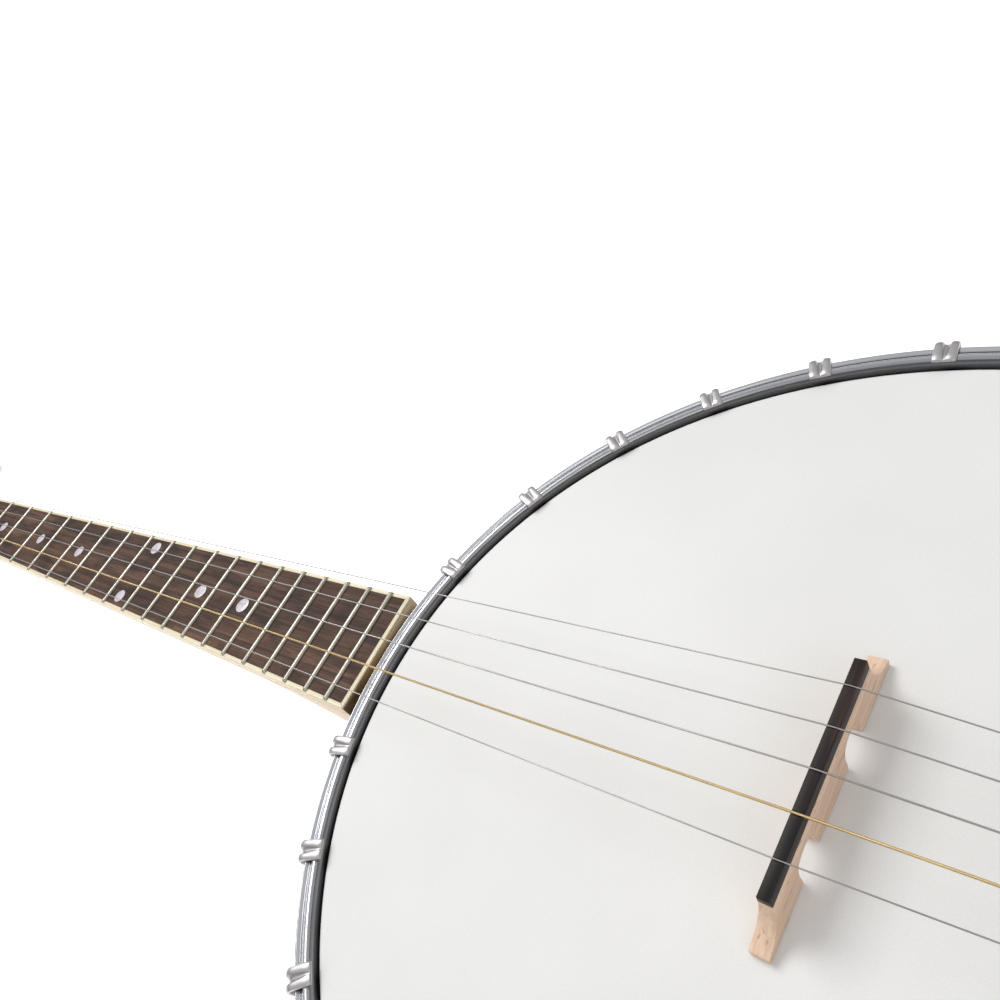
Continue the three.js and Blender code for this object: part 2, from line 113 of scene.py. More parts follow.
NUT_X = -.632
SCALE_LENGTH = .667
FRETS = 22
BOARD_END_X = -.1433
BOARD_TOP_AT_END = .0045
NECK_SLOPE = .0103
NECK_LENGTH = BOARD_END_X - NUT_X
BOARD_TOP_AT_NUT = BOARD_TOP_AT_END - NECK_SLOPE * NECK_LENGTH
BOARD_THICKNESS = .005
UNDER_BOARD = -BOARD_THICKNESS - .0001
NUT_HALF_WIDTH = .01625
TAPER = .0127
NARROW_EDGE = -.0122  # bass edge of the neck between the nut and the fifth string's peg
BINDING_WIDTH = .0016
END_BINDING_DEPTH = .0009  # of the binding across the board's end
FRET_WIDTH = .002
FRET_HEIGHT = .001
FRET_FOOT = .00012  # straight height under the crown
DOT_R = .0032
DOT_OFF_MIDDLE = (-.0008, .0004)
INLAID_FRETS = (3, 5, 7, 9, 15, 17)

PEGHEAD_TILT = math.radians(14)
PEGHEAD_START = -.0055
PEGHEAD_DROP = -BOARD_THICKNESS - .0015
PEGHEAD_THICKNESS = .013
PEGHEAD_LENGTH = .15
PEGHEAD_HALF_WIDTH = .036
PEGHEAD_MIDDLE = .002
PEGHEAD_FLANK_X = -.0345  # where the wide part starts to narrow towards the nut
TUNERS = ((-.054, .022), (-.104, .022), (-.104, -.018), (-.054, -.018))
OVERLAY_LOW, OVERLAY_HIGH = .0001, .0018

BRIDGE_PLACE = (-.0017, .0014)
BRIDGE_YAW = math.radians(-1.25)
STRING_RADII = (.00018, .0002, .00023, .00032, .00018)
STRING_NUT_Y = (.015, .007, -.001, -.009)
STRING_NUT_Z = .0024
WRAP_PITCH = .00016  # of the wound string
STRING_BRIDGE_Y = (.0231, .0126, .0022, -.0082, -.0187)
STRING_BRIDGE_Z = .016
FIFTH_NUT = Vector((-.4715, -.0159, .0051))
TAIL_STRING_Z = .0092

NECK = (
    POT
    @ Matrix.Translation((NUT_X, 0, BOARD_TOP_AT_NUT))
    @ Matrix.Rotation(-math.atan(NECK_SLOPE), 4, "Y")
)
PEGHEAD = NECK @ Matrix.Translation((PEGHEAD_START, 0, PEGHEAD_DROP)) @ Matrix.Rotation(-PEGHEAD_TILT, 4, "Y")
BRIDGE = POT @ Matrix.Translation((*BRIDGE_PLACE, 0)) @ Matrix.Rotation(BRIDGE_YAW, 4, "Z")

# ---- Mesh helpers ----


def polar(radius, angle, x=0, y=0):
    return x + radius * math.cos(angle), y + radius * math.sin(angle)


def circle(radius, count, x=0, y=0):
    return [polar(radius, 2 * math.pi * i / count, x, y) for i in range(count)]


def arc(x, y, radius, first, last, count):
    """Points on an arc between two angles in degrees."""
    angles = [math.radians(first + (last - first) * i / (count - 1)) for i in range(count)]
    return [polar(radius, a, x, y) for a in angles]


def squared(value, power):
    """A sine or cosine, bent so that a circle made from it gets fuller or slimmer sides."""
    return math.copysign(abs(value) ** power, value)


def raised(profile, by):
    return [(radius, height + by) for radius, height in profile]


def bezier(points, count=12):
    """Points on a cubic or quadratic curve, without its first point."""
    order = len(points) - 1
    made = []
    for i in range(1, count + 1):
        t = i / count
        parts = [math.comb(order, k) * (1 - t) ** (order - k) * t ** k for k in range(order + 1)]
        axes = range(len(points[0]))
        made.append(tuple(sum(part * p[axis] for part, p in zip(parts, points)) for axis in axes))
    return made


def faces_between(bm, first, second):
    """Quads between two closed rows of vertices. A row of one vertex is a pole."""
    count = max(len(first), len(second))
    for i in range(count):
        j = (i + 1) % count
        corners = [row[k % len(row)] for row, k in ((first, i), (first, j), (second, j), (second, i))]
        corners = tuple(dict.fromkeys(corners))
        if len(corners) > 2:
            bm.faces.new(corners)


def lathe(profile, segments=96, closed=True):
    """A section of (radius, height) points turned about +Z. A closed section makes a ring."""
    bm = bmesh.new()
    rows = []
    for radius, height in profile:
        places = circle(radius, segments) if radius > 1e-7 else [(0, 0)]
        rows.append([bm.verts.new((x, y, height)) for x, y in places])
    for first, second in zip(rows, rows[1:] + (rows[:1] if closed else [])):
        faces_between(bm, first, second)
    bmesh.ops.recalc_face_normals(bm, faces=bm.faces)
    return bm


def skin(rings):
    """A closed surface through rings of points."""
    bm = bmesh.new()
    rows = [[bm.verts.new(point) for point in ring] for ring in rings]
    for first, second in zip(rows, rows[1:]):
        faces_between(bm, first, second)
    bm.faces.new(rows[0])
    bm.faces.new(rows[-1])
    bmesh.ops.recalc_face_normals(bm, faces=bm.faces)
    return bm


def prism(outline, low, high):
    """An outline of (x, y) points raised from low to high."""
    return skin([[(x, y, z) for x, y in outline] for z in (low, high)])


def block(low, high):
    return prism([(low[0], low[1]), (high[0], low[1]), (high[0], high[1]), (low[0], high[1])], low[2], high[2])


def side_prism(outline, low, high):
    """An outline of (x, z) points spread from y = low to y = high."""
    return skin([[(x, y, z) for x, z in outline] for y in (low, high)])


def tube(path, radius, sides=12):
    """A round tube along a path. radius is a number, or one number for each point."""
    points = [Vector(point) for point in path]
    radii = [radius] * len(points) if isinstance(radius, float) else radius
    rings = []
    normal = None
    for index, point in enumerate(points):
        before = points[max(index - 1, 0)]
        after = points[min(index + 1, len(points) - 1)]
        along = (after - before).normalized()
        if normal is None:
            normal = along.orthogonal()
        normal = (normal - along * normal.dot(along)).normalized()
        across = along.cross(normal)
        angles = [2 * math.pi * i / sides for i in range(sides)]
        rings.append([point + radii[index] * (math.cos(a) * normal + math.sin(a) * across) for a in angles])
    return skin(rings)


def rounded(bm, width, segments=2, angle=30):
    """Rounds every edge that is sharper than the angle."""
    edges = [e for e in bm.edges if len(e.link_faces) == 2 and e.calc_face_angle(0) > math.radians(angle)]
    bmesh.ops.bevel(
        bm, geom=edges, offset=width, segments=segments, profile=.5, affect="EDGES", clamp_overlap=True
    )
    return bm


def turned_to(bm, matrix):
    bmesh.ops.transform(bm, matrix=matrix, verts=bm.verts)
    return bm


def along_x(bm, x=0, y=0, z=0):
    """Turns a shape that was made about +Z so that it lies along +X, and moves it."""
    return turned_to(bm, Matrix.Translation((x, y, z)) @ Matrix.Rotation(math.pi / 2, 4, "Y"))


def along_y(bm, x=0, y=0, z=0):
    """Turns a shape that was made about +Z so that it lies along +Y, and moves it."""
    return turned_to(bm, Matrix.Translation((x, y, z)) @ Matrix.Rotation(-math.pi / 2, 4, "X"))


def moved(bm, x=0, y=0, z=0):
    return turned_to(bm, Matrix.Translation((x, y, z)))


def mesh_of(bm, name):
    mesh = bpy.data.meshes.new(name)
    bm.to_mesh(mesh)
    bm.free()
    return mesh


def together(*parts):
    """Separate closed shapes in one mesh."""
    whole = bmesh.new()
    for part in parts:
        mesh = mesh_of(part, "part")
        whole.from_mesh(mesh)
        bpy.data.meshes.remove(mesh)
    return whole


def combined(body, tools, operation="DIFFERENCE"):
    """body with the tools cut out of it, joined to it, or kept in common with it."""
    objects = []
    for shape in [body, *tools]:
        objects.append(bpy.data.objects.new("shape", mesh_of(shape, "shape")))
        bpy.context.scene.collection.objects.link(objects[-1])
    for tool in objects[1:]:
        modifier = objects[0].modifiers.new("boolean", "BOOLEAN")
        modifier.operation = operation
        modifier.solver = "EXACT"
        modifier.object = tool
    bpy.context.view_layer.update()
    evaluated = objects[0].evaluated_get(bpy.context.evaluated_depsgraph_get())
    result = bmesh.new()
    result.from_mesh(evaluated.to_mesh())
    evaluated.to_mesh_clear()
    for obj in objects:
        mesh = obj.data
        bpy.data.objects.remove(obj)
        bpy.data.meshes.remove(mesh)
    bmesh.ops.remove_doubles(result, verts=result.verts, dist=1e-6)
    return result


def finished_mesh(bm, name, look, sharp=38):
    mesh = mesh_of(bm, name)
    mesh.shade_smooth()
    mesh.set_sharp_from_angle(angle=math.radians(sharp))
    mesh.materials.append(look)
    return mesh


def put(name, mesh, place, body, nodes=()):
    obj = bpy.data.objects.new(name, mesh)
    bpy.context.scene.collection.objects.link(obj)
    obj.matrix_world = place
    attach(obj, body)
    if nodes:
        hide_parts(*nodes)
    return obj


def piece(name, bm, place, look, body="instrument", nodes=(), sharp=38):
    return put(name, finished_mesh(bm, name, look, sharp), place, body, nodes)


# ---- Materials ----


class Look:
    """A procedural material, with short names for the nodes that it uses."""

    def __init__(self, name, colour, roughness, metallic=0.0, coat=0.0):
        self.material = bpy.data.materials.new(name)
        self.material.use_nodes = True
        self.tree = self.material.node_tree
        self.shader = self.tree.nodes["Principled BSDF"]
        self.shader.inputs["Base Color"].default_value = (*colour, 1)
        self.shader.inputs["Roughness"].default_value = roughness
        self.shader.inputs["Metallic"].default_value = metallic
        self.shader.inputs["Coat Weight"].default_value = coat
        self.shader.inputs["Coat Roughness"].default_value = .12
        self.place = self.tree.nodes.new("ShaderNodeTexCoord").outputs["Object"]

    def node(self, kind, inputs=(), **settings):
        made = self.tree.nodes.new(kind)
        for key, value in settings.items():
            setattr(made, key, value)
        for key, value in dict(inputs).items():
            if isinstance(value, bpy.types.NodeSocket):
                self.tree.links.new(value, made.inputs[key])
            else:
                made.inputs[key].default_value = value
        return made

    def stretched(self, scale, source=None):
        """Coordinates with a scale of their own along each axis, in features per metre."""
        inputs = {"Vector": source or self.place, "Scale": scale}
        return self.node("ShaderNodeMapping", inputs).outputs["Vector"]

    def noise(self, scale, detail=3.0, source=None, distortion=0.0, roughness=.5):
        inputs = {
            "Vector": self.stretched(scale, source),
            "Scale": 1.0,
            "Detail": detail,
            "Distortion": distortion,
            "Roughness": roughness,
        }
        return self.node("ShaderNodeTexNoise", inputs).outputs["Fac"]

    def math(self, operation, first, second=0.0):
        return self.node("ShaderNodeMath", {0: first, 1: second}, operation=operation).outputs[0]

    def ramp(self, value, stops):
        """A colour for each value: stops are (position, colour)."""
        made = self.node("ShaderNodeValToRGB", {"Fac": value})
        elements = made.color_ramp.elements
        while len(elements) < len(stops):
            elements.new(.5)
        for element, (position, colour) in zip(elements, stops):
            element.position = position
            element.color = (*colour, 1)
        return made.outputs["Color"]

    def span(self, value, low, high, from_low=.3, from_high=.7):
        """The value, moved from one range into another."""
        inputs = {"Value": value, "From Min": from_low, "From Max": from_high, "To Min": low, "To Max": high}
        return self.node("ShaderNodeMapRange", inputs).outputs["Result"]

    def mix(self, share, first, second, blend="MIX"):
        made = self.node("ShaderNodeMix", data_type="RGBA", blend_type=blend)
        colours = [socket for socket in made.inputs if socket.type == "RGBA"]
        for socket, value in ((made.inputs[0], share), (colours[0], first), (colours[1], second)):
            if isinstance(value, bpy.types.NodeSocket):
                self.tree.links.new(value, socket)
            elif isinstance(value, tuple):
                socket.default_value = (*value, 1)
            else:
                socket.default_value = value
        return [socket for socket in made.outputs if socket.type == "RGBA"][0]

    def colour(self, value):
        self.tree.links.new(value, self.shader.inputs["Base Color"])

    def rough(self, value):
        self.tree.links.new(value, self.shader.inputs["Roughness"])

    def bump(self, height, strength, distance):
        inputs = {"Height": height, "Strength": strength, "Distance": distance}
        self.tree.links.new(self.node("ShaderNodeBump", inputs).outputs["Normal"], self.shader.inputs["Normal"])

    def finish(self, colour, gloss, low, high, height, strength, distance=.0001):
        """Sets the colour, the roughness (gloss spread from low to high) and the bump."""
        self.colour(colour)
        self.rough(self.span(gloss, low, high))
        self.bump(height, strength, distance)
        return self.material

    def around(self):
        """Coordinates of a turned piece: along the circumference, outwards, and up."""
        xyz = self.node("ShaderNodeSeparateXYZ", {"Vector": self.place}).outputs
        angle = self.math("ARCTAN2", xyz[1], xyz[0])
        squares = self.math("ADD", self.math("POWER", xyz[0], 2.0), self.math("POWER", xyz[1], 2.0))
        inputs = {0: self.math("MULTIPLY", angle, RIM_OUTER_R), 1: self.math("SQRT", squares), 2: xyz[2]}
        return self.node("ShaderNodeCombineXYZ", inputs).outputs["Vector"]


def plated(name, colour, roughness, wear):
    """Polished plate: faint smears in the gloss, fine scratches and a slow change of tone."""
    look = Look(name, colour, roughness, 1.0)
    smear = look.noise((90, 90, 90), 4.0)
    scratch = look.noise((2600, 260, 900), 2.0)
    dark = tuple(.82 * value for value in colour)
    look.colour(look.mix(look.span(smear, 0.0, wear), colour, dark))
    gloss = look.math("ADD", smear, look.math("MULTIPLY", scratch, .35))
    look.rough(look.span(gloss, roughness * .7, roughness * 1.5, .45, .95))
    look.bump(scratch, .05, .00005)
    return look.material


def hoop_painted_reflections():
    """The tension hoop's chrome with painted reflections: painted highlights on its crest and bead, painted
    shade at the foot of the inner wall, in the groove and at the outer edge.
    """
    look = Look("hoop_chrome_painted_light", (.7, .71, .74), .12, 1.0)
    radius = look.node("ShaderNodeSeparateXYZ", {"Vector": look.around()}).outputs[1]
    across = look.span(radius, 0.0, 1.0, HOOP_INNER_R, HOOP_OUTER_R)
    # Painted light by radius: the light stops paint highlights on the crest and bead, and the dark stops paint
    # shade and dark reflections on the inner wall, in the groove and at the outer edge.
    tones = ((0, .1), (.05, .3), (.2, .5), (.34, .62), (.44, .92), (.54, .9), (.6, .4), (.7, .07),
             (.78, .6), (.88, .72), (.93, .5), (.965, .05), (.995, .6))
    plate = look.ramp(across, [(position, (grey * .97, grey * .98, grey * 1.03)) for position, grey in tones])
    smear = look.noise((60, 60, 60), 4.0)
    look.colour(look.mix(look.span(smear, 0.0, .25), plate, (.5, .51, .55), "MULTIPLY"))
    look.rough(look.span(smear, .2, .28))
    return look.material


def frosted_film():
    """The head's coated film: a fine sprayed grain over a slightly uneven off-white."""
    look = Look("frosted_film", (.8, .8, .79), .62)
    cloud = look.noise((14, 14, 14), 3.0)
    grain = look.noise((2600, 2600, 2600), 2.0)
    base = look.mix(look.span(cloud, 0.0, 1.0), (.77, .77, .755), (.83, .83, .82))
    speck = look.span(grain, .97, 1.03)
    grey = look.node("ShaderNodeCombineColor", {0: speck, 1: speck, 2: speck}).outputs[0]
    return look.finish(look.mix(1.0, base, grey, "MULTIPLY"), grain, .5, .72, grain, .12)


def maple(name, around=False, coat=.35):
    """Lacquered maple: long grain, a slow figure across it and short dark flecks."""
    look = Look(name, (.62, .4, .2), .42, coat=coat)
    place = look.around() if around else look.place
    grain = look.noise((9, 420, 420), 6.0, place, .6, .62)
    figure = look.noise((34, 90, 60), 2.0, place, 1.2)
    flecks = look.noise((160, 1900, 1900), 2.0, place)
    wood = look.ramp(grain, ((.25, (.44, .25, .105)), (.5, (.6, .375, .175)), (.8, (.71, .48, .26))))
    wood = look.mix(look.span(figure, 0.0, .45), wood, (.73, .52, .3))
    wood = look.mix(look.span(flecks, 0.0, .55, .6, .72), wood, (.36, .2, .09))
    if around:
        radial = look.node("ShaderNodeSeparateXYZ", {"Vector": place}).outputs[1]
        depth = look.math("SUBTRACT", radial, RIM_INNER_R)
        plies = look.math("PINGPONG", depth, (RIM_OUTER_R - RIM_INNER_R) / 6)
        wood = look.mix(look.span(plies, .75, 0.0, 0.0, .00018), wood, (.22, .12, .06))
    return look.finish(wood, grain, .36, .52, look.math("ADD", grain, flecks), .08)


def end_maple_painted_shade():
    """Wood at the board's end with painted shade: light at the treble side, dark and amber towards the bass
    side.
    """
    look = Look("end_maple_painted_shade", (.5, .33, .16), .5)
    y = look.node("ShaderNodeSeparateXYZ", {"Vector": look.place}).outputs[1]
    grain = look.noise((500, 60, 700), 4.0, distortion=.5)
    # Painted shade: the colour darkens from the treble side to the bass side.
    side = look.math("ADD", look.span(y, 0.0, .8, -.022, .022), look.span(grain, 0.0, .2))
    stops = ((.1, (.1, .06, .03)), (.3, (.3, .17, .06)), (.6, (.52, .36, .19)), (.9, (.68, .56, .4)))
    return look.finish(look.ramp(side, stops), grain, .42, .58, grain, .15)


def bridge_maple():
    """Bare pale maple with small brown flecks along the grain."""
    look = Look("bridge_maple", (.75, .52, .35), .62)
    grain = look.noise((900, 30, 500), 5.0, distortion=.4)
    wood = look.ramp(grain, ((.25, (.7, .46, .31)), (.55, (.83, .61, .45)), (.85, (.89, .7, .55))))
    fleck = look.noise((900, 190, 900), 1.0, distortion=.3)
    wood = look.mix(look.span(fleck, 0.0, .6, .66, .74), wood, (.42, .23, .13))
    return look.finish(wood, grain, .55, .7, look.math("ADD", grain, fleck), .15)


def rosewood():
    """Oiled rosewood: dark streaks, reddish and greyish fibres and open pores along the neck."""
    look = Look("rosewood", (.1, .06, .05), .6)
    look.shader.inputs["Specular IOR Level"].default_value = .22
    streak = look.noise((9, 330, 150), 5.0, distortion=1.0, roughness=.66)
    fibre = look.noise((60, 2100, 900), 3.0, distortion=.3)
    pores = look.noise((230, 3600, 1500), 2.0)
    patch = look.noise((38, 110, 90), 3.0, distortion=.6)
    stops = [(.3, (.012, .007, .006)), (.46, (.055, .026, .017))]
    stops += [(.56, (.1, .05, .031)), (.72, (.2, .105, .066))]
    wood = look.ramp(streak, stops)
    wood = look.mix(look.span(fibre, 0.0, .5, .45, .7), wood, (.16, .105, .08))
    wood = look.mix(look.span(patch, 0.0, .7, .48, .66), wood, (.02, .012, .011))
    wood = look.mix(look.span(pores, 0.0, .8, .58, .7), wood, (.02, .011, .01))
    height = look.math("SUBTRACT", fibre, look.math("MULTIPLY", pores, 1.4))
    return look.finish(wood, fibre, .5, .72, height, .22, .00012)


def dark_wood(name, colour, scale, stops, gloss, strength, coat=0.0, specular=.5):
    """Black wood with faint brown streaks. gloss is the roughness: usual, lowest and highest."""
    look = Look(name, colour, gloss[0], coat=coat)
    look.shader.inputs["Specular IOR Level"].default_value = specular
    streak = look.noise(scale, 4.0, distortion=.4)
    return look.finish(look.ramp(streak, stops), streak, *gloss[1:], streak, strength)


EBONY_STOPS = ((.3, (.009, .007, .008)), (.55, (.02, .013, .013)), (.75, (.07, .035, .028)))
VENEER_STOPS = ((.3, (.01, .008, .009)), (.6, (.024, .018, .018)), (.9, (.06, .04, .034)))


def layered(name, light, dark, scale, roughness):
    """Ivoroid, bone and horn-like plastics: thin layers of two close tones."""
    look = Look(name, light, roughness)
    layers = look.noise(scale, 3.0, distortion=.5)
    look.shader.inputs["Subsurface Weight"].default_value = .15
    look.shader.inputs["Subsurface Radius"].default_value = (.002, .0015, .001)
    colour = look.mix(look.span(layers, 0.0, 1.0, .35, .68), light, dark)
    return look.finish(colour, layers, roughness * .8, roughness * 1.2, layers, .05)


def pearloid():
    """Pearl-like plastic: swirled cells of grey, lavender and white."""
    look = Look("pearloid", (.6, .57, .62), .22, coat=.5)
    inputs = {"Vector": look.place, "Scale": 350.0, "Detail": 2.0}
    swirl = look.node("ShaderNodeTexNoise", inputs).outputs["Color"]
    place = look.mix(.0012, look.place, swirl)
    cells = look.node("ShaderNodeTexVoronoi", {"Vector": place, "Scale": 700.0}).outputs["Distance"]
    look.colour(look.ramp(cells, ((.1, (.8, .77, .8)), (.5, (.66, .62, .67)), (.9, (.5, .47, .54)))))
    look.rough(look.span(cells, .18, .34, 0.0, 1.0))
    look.bump(cells, .03, .0001)
    return look.material


def wire(name, colour, roughness, wound):
    """String wire. A wound string has a fine wrap along its length."""
    look = Look(name, colour, roughness, 1.0)
    stain = look.noise((40, 900, 900), 3.0)
    dark = tuple(.7 * value for value in colour)
    stained = look.mix(look.span(stain, 0.0, .7), colour, dark)
    height, strength = stain, .05
    if wound:
        x = look.node("ShaderNodeSeparateXYZ", {"Vector": look.place}).outputs[0]
        height, strength = look.math("SINE", look.math("MULTIPLY", x, 2 * math.pi / WRAP_PITCH)), .5
    return look.finish(stained, stain, roughness * .8, roughness * 1.3, height, strength, .00003)


CHROME = plated("chrome", (.76, .77, .8), .1, .5)
HOOP_CHROME_PAINTED_LIGHT = hoop_painted_reflections()
NICKEL = plated("nickel", (.62, .59, .56), .24, .8)
HOOK_NICKEL = plated("hook_nickel", (.58, .56, .57), .36, .8)
FRET_NICKEL = plated("fret_nickel", (.52, .485, .42), .34, .6)
BRASS = plated("brass", (.58, .4, .16), .3, .9)
FILM = frosted_film()
NECK_MAPLE = maple("neck_maple")
RIM_MAPLE = maple("rim_maple", around=True)
END_MAPLE_PAINTED_SHADE = end_maple_painted_shade()
BRIDGE_MAPLE = bridge_maple()
ROSEWOOD = rosewood()
EBONY = dark_wood("ebony", (.018, .014, .015), (700, 24, 700), EBONY_STOPS, (.5, .4, .6), .12, specular=.25)
VENEER = dark_wood(
    "peghead_veneer", (.02, .016, .016), (12, 700, 700), VENEER_STOPS, (.28, .22, .36), .05, coat=.6
)
IVOROID = layered("ivoroid", (.8, .73, .55), (.73, .63, .42), (14, 2600, 2600), .4)
BONE = layered("bone", (.8, .76, .66), (.71, .64, .5), (500, 90, 900), .35)
PEARLOID = pearloid()
STEEL = wire("string_steel", (.47, .455, .445), .45, False)
BRONZE = wire("string_bronze", (.72, .54, .28), .42, True)

# ---- Camera, lights and floor ----

CAMERA_AT = (.0390966, -.0583233, .1837924)  # in the pot's frame
CAMERA_TURN_DEG = (37.657869, 27.158910, 32.803577)
CAMERA_LENS_MM = 28.0721
CAMERA_SHIFT = (.043847, .107825)
SENSOR_MM = 36
FLOOR_HALF = 40.0
FLOOR_GLOW = (.66, .9)  # emission at these two distances from the middle
FLOOR_GLOW_FROM = (.4, 1.2)
SKY = ((0, .55), (.1, .45), (.26, .1), (.4, .2), (.5, .78), (1, .52))  # sine of the height, grey


def add_camera():
    data = bpy.data.cameras.new("camera")
    data.sensor_width = SENSOR_MM
    data.lens = CAMERA_LENS_MM
    data.shift_x, data.shift_y = CAMERA_SHIFT
    data.clip_start = .01
    camera = bpy.data.objects.new("camera", data)
    turn = Euler(map(math.radians, CAMERA_TURN_DEG)).to_matrix().to_4x4()
    camera.matrix_world = POT @ Matrix.Translation(CAMERA_AT) @ turn
    bpy.context.scene.collection.objects.link(camera)
    bpy.context.scene.camera = camera


def add_softbox(name, place, size, watts, tint=(1, 1, 1)):
    """A square softbox at a place in the pot's frame that faces the head."""
    data = bpy.data.lights.new(name, "AREA")
    data.size = size
    data.energy = watts
    data.color = tint
    light = bpy.data.objects.new(name, data)
    turn = (-Vector(place)).to_track_quat("-Z", "Y").to_matrix().to_4x4()
    light.matrix_world = POT @ Matrix.Translation(place) @ turn
    bpy.context.scene.collection.objects.link(light)


def add_studio():
    """A bright ceiling and a pale horizon, with darker walls between them."""
    world = bpy.data.worlds.new("studio")
    world.use_nodes = True
    nodes, links = world.node_tree.nodes, world.node_tree.links
    up = nodes.new("ShaderNodeSeparateXYZ")
    links.new(nodes.new("ShaderNodeTexCoord").outputs["Generated"], up.inputs[0])
    ramp = nodes.new("ShaderNodeValToRGB")
    links.new(up.outputs["Z"], ramp.inputs["Fac"])
    elements = ramp.color_ramp.elements
    while len(elements) < len(SKY):
        elements.new(.5)
    for element, (position, grey) in zip(elements, SKY):
        element.position = position
        element.color = (grey, grey, grey * 1.01, 1)
    links.new(ramp.outputs["Color"], nodes["Background"].inputs["Color"])
    bpy.context.scene.world = world
    bpy.context.scene.view_settings.view_transform = "Standard"


def add_floor():
    bm = bmesh.new()
    corners = ((-1, -1), (1, -1), (1, 1), (-1, 1))
    bm.faces.new([bm.verts.new((x * FLOOR_HALF, y * FLOOR_HALF, 0)) for x, y in corners])
    look = Look("floor", (.86, .86, .86), .9)
    look.shader.inputs["Emission Color"].default_value = (1, 1, 1, 1)
    distance = look.node("ShaderNodeVectorMath", {0: look.place}, operation="LENGTH").outputs["Value"]
    glow = look.span(distance, *FLOOR_GLOW, *FLOOR_GLOW_FROM)
    look.tree.links.new(glow, look.shader.inputs["Emission Strength"])
    mesh = finished_mesh(bm, "floor", look.material)
    floor = bpy.data.objects.new("floor", mesh)
    floor.location.z = cad_bounds[0].z
    bpy.context.scene.collection.objects.link(floor)


add_camera()
add_studio()
add_floor()
add_softbox("key", (-.75, .2, .95), .6, 8, (1, .99, .97))
add_softbox("fill", (.9, -.7, 1.1), 1.0, 2.8)

# ---- Pot ----


def rounded_box_section(inner, outer, low, high, bottom_r, top_r):
    """The section of a ring with rounded corners."""
    return [
        *arc(outer - bottom_r, low + bottom_r, bottom_r, -90, 0, 6),
        *arc(outer - top_r, high - top_r, top_r, 0, 90, 6),
        *arc(inner + top_r, high - top_r, top_r, 90, 180, 6),
        *arc(inner + bottom_r, low + bottom_r, bottom_r, 180, 270, 6),
    ]


def add_pot():
    wood = rounded_box_section(RIM_INNER_R, RIM_OUTER_R, RIM_BOTTOM, RIM_TOP, .0018, .0006)
    piece("wooden_rim", lathe(wood, 192), POT, RIM_MAPLE, nodes=["rim"])

    low, high = heights_of("tone_ring")
    ring = rounded_box_section(TONE_RING_INNER_R, RIM_OUTER_R, low, high, .0003, .0011)
    piece("brass_tone_ring", lathe(ring, 192), POT, BRASS, nodes=["tone_ring"])

    turn_r, film = .0014, .00025
    edge = RIM_OUTER_R + .0008
    outside = [(0, 0), (.04, 0), (.09, 0), *arc(edge - turn_r, -turn_r, turn_r, 90, 0, 7), (edge, -.0062)]
    outside += [(.1371, -.0072), (.1374, -.0086)]
    inside = [(.13715, -.0087), (.1368, -.0074), (edge - film, -.0064)]
    inside += [*arc(edge - turn_r, -turn_r, turn_r - film, 0, 90, 7), (.09, -film), (.04, -film), (0, -film)]
    film_bm = lathe(outside + inside, 192, closed=False)
    piece("banjo_head", film_bm, POT, FILM, nodes=["head"])

    low, high = heights_of("flesh_hoop")
    wire_r = (high - low) / 2 - .0002
    round_wire = arc(.1388, (low + high) / 2, wire_r, 0, 330, 12)
    piece("flesh_wire", lathe(round_wire, 192), POT, BRASS, nodes=["flesh_hoop"])

    section = [
        (HOOP_INNER_R, HOOP_SHOULDER_Z),
        (HOOP_INNER_R, .0006),
        *arc(*HOOP_CREST, 165, 40, 10),
        *arc(*HOOP_GROOVE, 215, 320, 5),
        *arc(*HOOP_BEAD, 110, 0, 6),
        (HOOP_OUTER_R, HOOP_BOTTOM + .0003),
        (HOOP_OUTER_R - .0003, HOOP_BOTTOM),
        (HOOP_WALL_R + .0003, HOOP_BOTTOM),
        (HOOP_WALL_R, HOOP_BOTTOM + .0003),
        (HOOP_WALL_R, HOOP_SHOULDER_Z - .0004),
        (HOOP_WALL_R - .0003, HOOP_SHOULDER_Z),
    ]
    piece("chrome_hoop", lathe(section, 256), POT, HOOP_CHROME_PAINTED_LIGHT, nodes=["tension_hoop"], sharp=50)


def hexagon(radius, low, high, bore=0.0):
    """A hexagonal nut about +Z with turned corners, and a bore if it has one."""
    chamfer = radius * .14
    turned = lathe(
        [
            (0, low),
            (radius - chamfer, low),
            (radius, low + chamfer * .6),
            (radius, high - chamfer * .6),
            (radius - chamfer, high),
            (0, high),
        ],
        48,
        closed=False,
    )
    nut = combined(prism(circle(radius, 6), low - .001, high + .001), [turned], "INTERSECT")
    return combined(nut, [prism(circle(bore, 20), low - .002, high + .002)]) if bore else nut


def thread(radius, low, high, pitch):
    """The section of a threaded bar between two heights."""
    points = []
    turns = int((high - low) / pitch)
    for turn in range(turns):
        z = low + turn * pitch
        points += [(radius * .86, z), (radius, z + pitch * .4), (radius, z + pitch * .6)]
    return points


